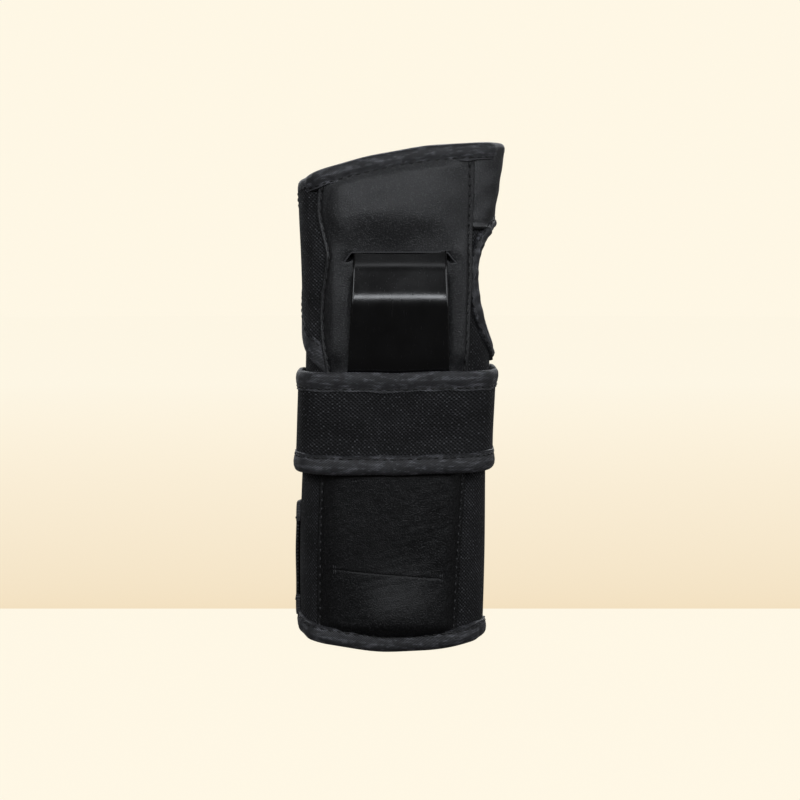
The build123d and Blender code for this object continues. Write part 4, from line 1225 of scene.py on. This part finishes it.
def pile(name, low, high, bottom, top, d, finish, crossing, slot, density, sweep, inward=False):
    """Small bent threads that stand on a face at a distance off the sleeve, outwards or inwards."""
    u, z = grid(low, high, bottom, top, 2.0)
    rows_up, columns = u.shape
    faces = [[i * columns + j, (i + 1) * columns + j, (i + 1) * columns + j + 1, i * columns + j + 1]
             for i in range(rows_up - 1) for j in range(columns - 1)]
    if inward:
        faces = [face[::-1] for face in faces]
    mesh = bpy.data.meshes.new(name)
    mesh.from_pydata(skin(u, z, d).reshape(-1, 3) * MM, [], faces)
    sizes = {"Size": HOOK_SIZE, "Sweep": sweep, "Thread": THREAD_RADIUS}
    piece = made_real(placed(name, mesh), PILE, finish, Density=density, Seed=3, **sizes)
    piece.data.polygons.foreach_set("use_smooth", [True] * len(piece.data.polygons))
    carried(crossing, piece, slot=slot)
    print(name, len(piece.data.polygons), "faces")
    return piece


for label, bottom, top in (("low", 6.5, 64.0), ("middle", 64.0, 122.0), ("high", 122.0, 177.0)):
    pile(f"loop_pile_{label}", LOOP_LEFT, LOOP_RIGHT, bottom, top, 0.95, LOOPS, ON_FLAP, "loop_pile",
         2.5e6, math.pi * 1.15)

# %% [markdown]
# ## Straps
# A strap is a mesh slab cut to its outline, with tape round its edge. Where it crosses a joint it is cut in
# two, and both halves meet edge to edge. The tape follows the same outline, so it is cut at the same place.

# %% Strap maker
def strap(name, outline, low, high, rise, crossing, nodes):
    """The part of a strap's cloth between two girth positions."""
    bottom, top = outline[:, 1].min() - 1, outline[:, 1].max() + 1
    u, z = grid(low, high, bottom, top, 0.9)
    keep = cut_out(u, z, outline, inside=True)
    inner = rise(u, z)
    swell = 0.10 * rumple(u, z, 22, 6)
    cloth = slab(name, u, z, inner + STRAP_T + swell, inner, NET, keep, flush=True)
    carried(crossing, cloth, stands_for=nodes, slot="mesh_cloth")
    return cloth


def runs(path, low, high):
    """The stretches of a path that lie between two girth positions, with their ends exactly there."""
    path, _ = evenly(path, 0.5)
    inside = (path[:, 0] >= low - 0.26) & (path[:, 0] <= high + 0.26)
    marks = np.flatnonzero(np.diff(np.concatenate([[False], inside, [False]]).astype(int)))
    return [path[a:b] for a, b in zip(marks[::2], marks[1::2]) if b - a > 4]


def strap_tapes(name, outline, side, low, high, rise, crossing, nodes, width=7.2, seed=2, puff=0.8):
    """Tape for every stretch of a strap's edge between two girth positions."""
    made = []
    for number, path in enumerate(runs(outline, low, high)):
        made += bound(f"{name}_{number}", path, side, lambda u, z: rise(u, z) + STRAP_T / 2, crossing,
                      None, STRAP_T, width, puff, seed=seed)
    if nodes:
        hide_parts(*nodes)
    return made


def closed_by(path, edge, low, high):
    """A strap's outline, closed along the lip of the leather it is sewn beside."""
    heights = np.linspace(high, low, 40)
    return np.concatenate([path, np.stack([edge(heights) - 0.3, heights], 1)])


def hook_patch(name, low, high, bottom, top, crossing):
    """The hook plate under a strap's end, with its hooks turned towards the loop pile."""
    u, z = grid(low, high, bottom, top, 1.6)
    plate = slab(name, u, z, STRAP_BACK - 0.03, STRAP_BACK - 0.5, HOOKS)
    carried(crossing, plate, stands_for=(name,), slot="hook_pile")
    edge = 0.8
    hooks = pile(name + "_hooks", low + edge, high - edge, bottom + edge, top - edge, STRAP_BACK - 0.5,
                 HOOKS, crossing, "hook_pile", 1.3e6, math.pi * 0.8, inward=True)
    declare(plate, hooks, held="laid")


# %% Top and bottom straps
def narrow_at_brow(u, z):
    """The top strap's upper tape narrows where it slips under the rim's tape."""
    return 7.2 - 4.2 * ease((u + SIDE + 3) / 6) * ease((z - 150) / 10)


def flat_at_side(u):
    """A strap's tape lies flatter where it turns the little finger's side."""
    return 0.12 + 0.68 * ease((-SIDE - u) / 9)


for label, path, edge, fold, tab_fold, ends in (
        ("top", TOP_STRAP, PANEL_LEFT, TOP_FOLD, TOP_TAB_FOLD, (103.8, 175.3)),
        ("bottom", BOTTOM_STRAP, lambda z: z * 0 + CUT_END + 0.3, BOTTOM_FOLD, BOTTOM_TAB_FOLD,
         (10.2, 53.4))):
    outline = closed_by(path, edge, *ends)
    split = round_little(-22.0, path[:, 1].mean())
    tip, lip = outline[:, 0].min() - 0.5, outline[:, 0].max() + 0.5
    root = strap(f"{label}_strap_root", outline, split, lip, little_strap_rise, fold,
                 (f"{label}_strap_root", f"{label}_strap_anchor"))
    tab = strap(f"{label}_strap_tab", outline, tip, split, little_strap_rise, tab_fold,
                (f"{label}_strap_tab",))
    root_tapes = strap_tapes(f"{label}_strap_root_binding", path, -1, split, lip, little_strap_rise, fold,
                             (f"{label}_strap_root_binding",), width=narrow_at_brow, puff=flat_at_side)
    tab_tapes = strap_tapes(f"{label}_strap_tab_binding", path, -1, tip, split, little_strap_rise, tab_fold,
                            (f"{label}_strap_tab_binding",))
    declare(root, *root_tapes)
    declare(tab, *tab_tapes)
    low_z, high_z = (143.0, 168.0) if label == "top" else (15.0, 43.0)
    hook_patch(f"{label}_strap_hook", round_little(18.5, low_z), round_little(-5.0, low_z), low_z, high_z,
               tab_fold)

# %% Middle band, strap and patch
CUT_1, CUT_2 = back(29.6, 86), back(4.0, 86)
middle = (("palm_band_little", BAND_START - 1, 0.0, ON_SLEEVE, ("palm_band",), ("palm_band_binding",)),
          ("palm_band_thumb", 0.0, CUT_1, THUMB_FOLD, (), ()),
          ("middle_strap", CUT_1, CUT_2, MIDDLE_FOLD, ("middle_strap", "middle_strap_turn"),
           ("middle_strap_binding", "middle_strap_turn_binding")),
          ("middle_strap_tab", CUT_2, BAND_END + 1, MIDDLE_TAB_FOLD, ("middle_strap_tab",),
           ("middle_strap_tab_binding",)))
for name, low, high, crossing, nodes, tape_nodes in middle:
    cloth = strap(name, BAND, low, high, band_rise, crossing, nodes)
    tapes = strap_tapes(name + "_binding", BAND, 1, low, high, band_rise, crossing, tape_nodes, width=7.0,
                        seed=30)
    declare(cloth, *tapes)

hook_patch("middle_strap_hook", back(-5.0, 86), back(-26.0, 86), 74.0, 98.0, MIDDLE_TAB_FOLD)


def on_strap(u, z):
    return band_rise(u, z) + STRAP_T + 0.04


for name, low, high, crossing in (("middle_patch", back(32, 86), CUT_2, MIDDLE_FOLD),
                                  ("middle_patch_tab", CUT_2, back(-30, 86), MIDDLE_TAB_FOLD)):
    u, z = grid(low, high, 70.0, 100.0, 0.9)
    keep = cut_out(u, z, PATCH, inside=True)
    lift = on_strap(u, z) + 0.1 * rumple(u, z, 22, 16)
    patch = slab(name, u, z, lift + 0.55, lift, SMOOTH_PATCH, keep, flush=True)
    lines = [row(run, lambda u, z: on_strap(u, z) + 0.66) for run in runs(PATCH, low, high)]
    if name.endswith("tab"):
        second = np.array([(back(-26.0, 86), 73.0), (back(-26.0, 86), 97.4)])
        lines.append(row(second, lambda u, z: on_strap(u, z) + 0.66))
    thread = sewing(name + "_stitches", lines, THREAD, 3.0, 2.3, 0.28)
    carried(crossing, patch, thread, stands_for=(name,), slot="strap_patch")
    declare(patch, thread, held="laid")

# %% [markdown]
# ## Floor, light and camera

# %% Stage
def wide_plane(name, corners, finish):
    mesh = bpy.data.meshes.new(name)
    mesh.from_pydata(corners, [], [(0, 1, 2, 3)])
    mesh.materials.append(finish)
    placed(name, mesh)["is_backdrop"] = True


FLOOR_Z, TURN_Y = -0.0004, 0.070
CREAM, PEACH = (0.995, 0.930, 0.783), (0.888, 0.737, 0.515)
floor_paint = Finish("Cream floor")
_, far, _ = floor_paint.split(floor_paint.place(own=False))
beyond = floor_paint.band(far, TURN_Y - 0.0005, TURN_Y + 0.0005)
fade = 1.0 - floor_paint.band(far, TURN_Y, 1.6) ** 0.5
shade = floor_paint.between(beyond * fade, CREAM, PEACH)
floor_paint.set(Base_Color=(0.02, 0.019, 0.016, 1.0), Roughness=0.9, Specular_IOR_Level=0.0)
floor_paint.set(Emission_Color=shade, Emission_Strength=0.99)
FLOOR_HALF = 6
floor_corners = [(x * FLOOR_HALF, y * FLOOR_HALF, FLOOR_Z) for x, y in ((-1, -1), (1, -1), (1, 1), (-1, 1))]
wide_plane("floor", floor_corners, floor_paint.material)

dome_paint = Finish("Cream surround")
dome_paint.set(Base_Color=(0, 0, 0, 1), Roughness=1.0, Specular_IOR_Level=0.0)
dome_paint.set(Emission_Color=(*CREAM, 1.0), Emission_Strength=1.0)
round_wall = bpy.data.meshes.new("surround")
shape = bmesh.new()
bmesh.ops.create_uvsphere(shape, u_segments=48, v_segments=24, radius=5.0)
bmesh.ops.reverse_faces(shape, faces=shape.faces)
shape.to_mesh(round_wall)
shape.free()
round_wall.materials.append(dome_paint.material)
surround = placed("surround", round_wall)
surround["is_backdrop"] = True
for piece in (surround, bpy.data.objects["floor"]):
    piece.visible_diffuse = False
    piece.visible_glossy = False
    piece.visible_shadow = False


LIT_PLACE = Vector((0.0, 0.0, 0.095))
COOL_WHITE = (0.93, 0.96, 1.0)


def soft_light(name, place, wide, high, power):
    """A rectangular lamp that faces the middle of the guard."""
    lamp = bpy.data.lights.new(name, "AREA")
    lamp.shape, lamp.size, lamp.size_y = "RECTANGLE", wide, high
    lamp.energy, lamp.color = power, COOL_WHITE
    holder = placed(name, lamp)
    holder.location = place
    holder.rotation_euler = (LIT_PLACE - Vector(place)).to_track_quat("-Z", "Y").to_euler()


soft_light("strip", (0.0, -1.15, 0.60), 0.7, 0.16, 4.2)
soft_light("overhead", (0.0, -0.50, 0.95), 0.8, 0.14, 0.6)
soft_light("left_front", (-0.80, -0.80, 0.65), 0.5, 0.7, 4.4)
soft_light("right_front", (0.80, -0.80, 0.65), 0.5, 0.7, 3.5)
soft_light("right_side", (1.05, -0.15, 0.45), 0.4, 0.7, 1.8)
soft_light("behind_left", (-0.6, 1.0, 0.65), 0.6, 0.6, 3.0)
soft_light("behind_right", (0.6, 1.0, 0.65), 0.6, 0.6, 3.0)
soft_light("behind_strip", (0.0, 1.1, 0.75), 0.7, 0.12, 2.6)
world = bpy.data.worlds.new("Soft surroundings")
world.use_nodes = True
world.node_tree.nodes["Background"].inputs["Color"].default_value = (1.0, 0.97, 0.93, 1.0)
world.node_tree.nodes["Background"].inputs["Strength"].default_value = 0.06
bpy.context.scene.world = world
bpy.context.scene.view_settings.view_transform = "Standard"

# %% Camera
camera = placed("camera", bpy.data.cameras.new("camera"))
camera.data.lens = 85
aim = Vector((0.002, -0.005, 0.093))
distance, pitch = 0.715, math.radians(4.0)
camera.location = aim + Vector((0, -math.cos(pitch), math.sin(pitch))) * distance
camera.rotation_euler = (aim - camera.location).to_track_quat("-Z", "Y").to_euler()
bpy.context.scene.camera = camera

# %% Measure and finish
low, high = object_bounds()
print("finished size", [round(side, 4) for side in high - low], "m")
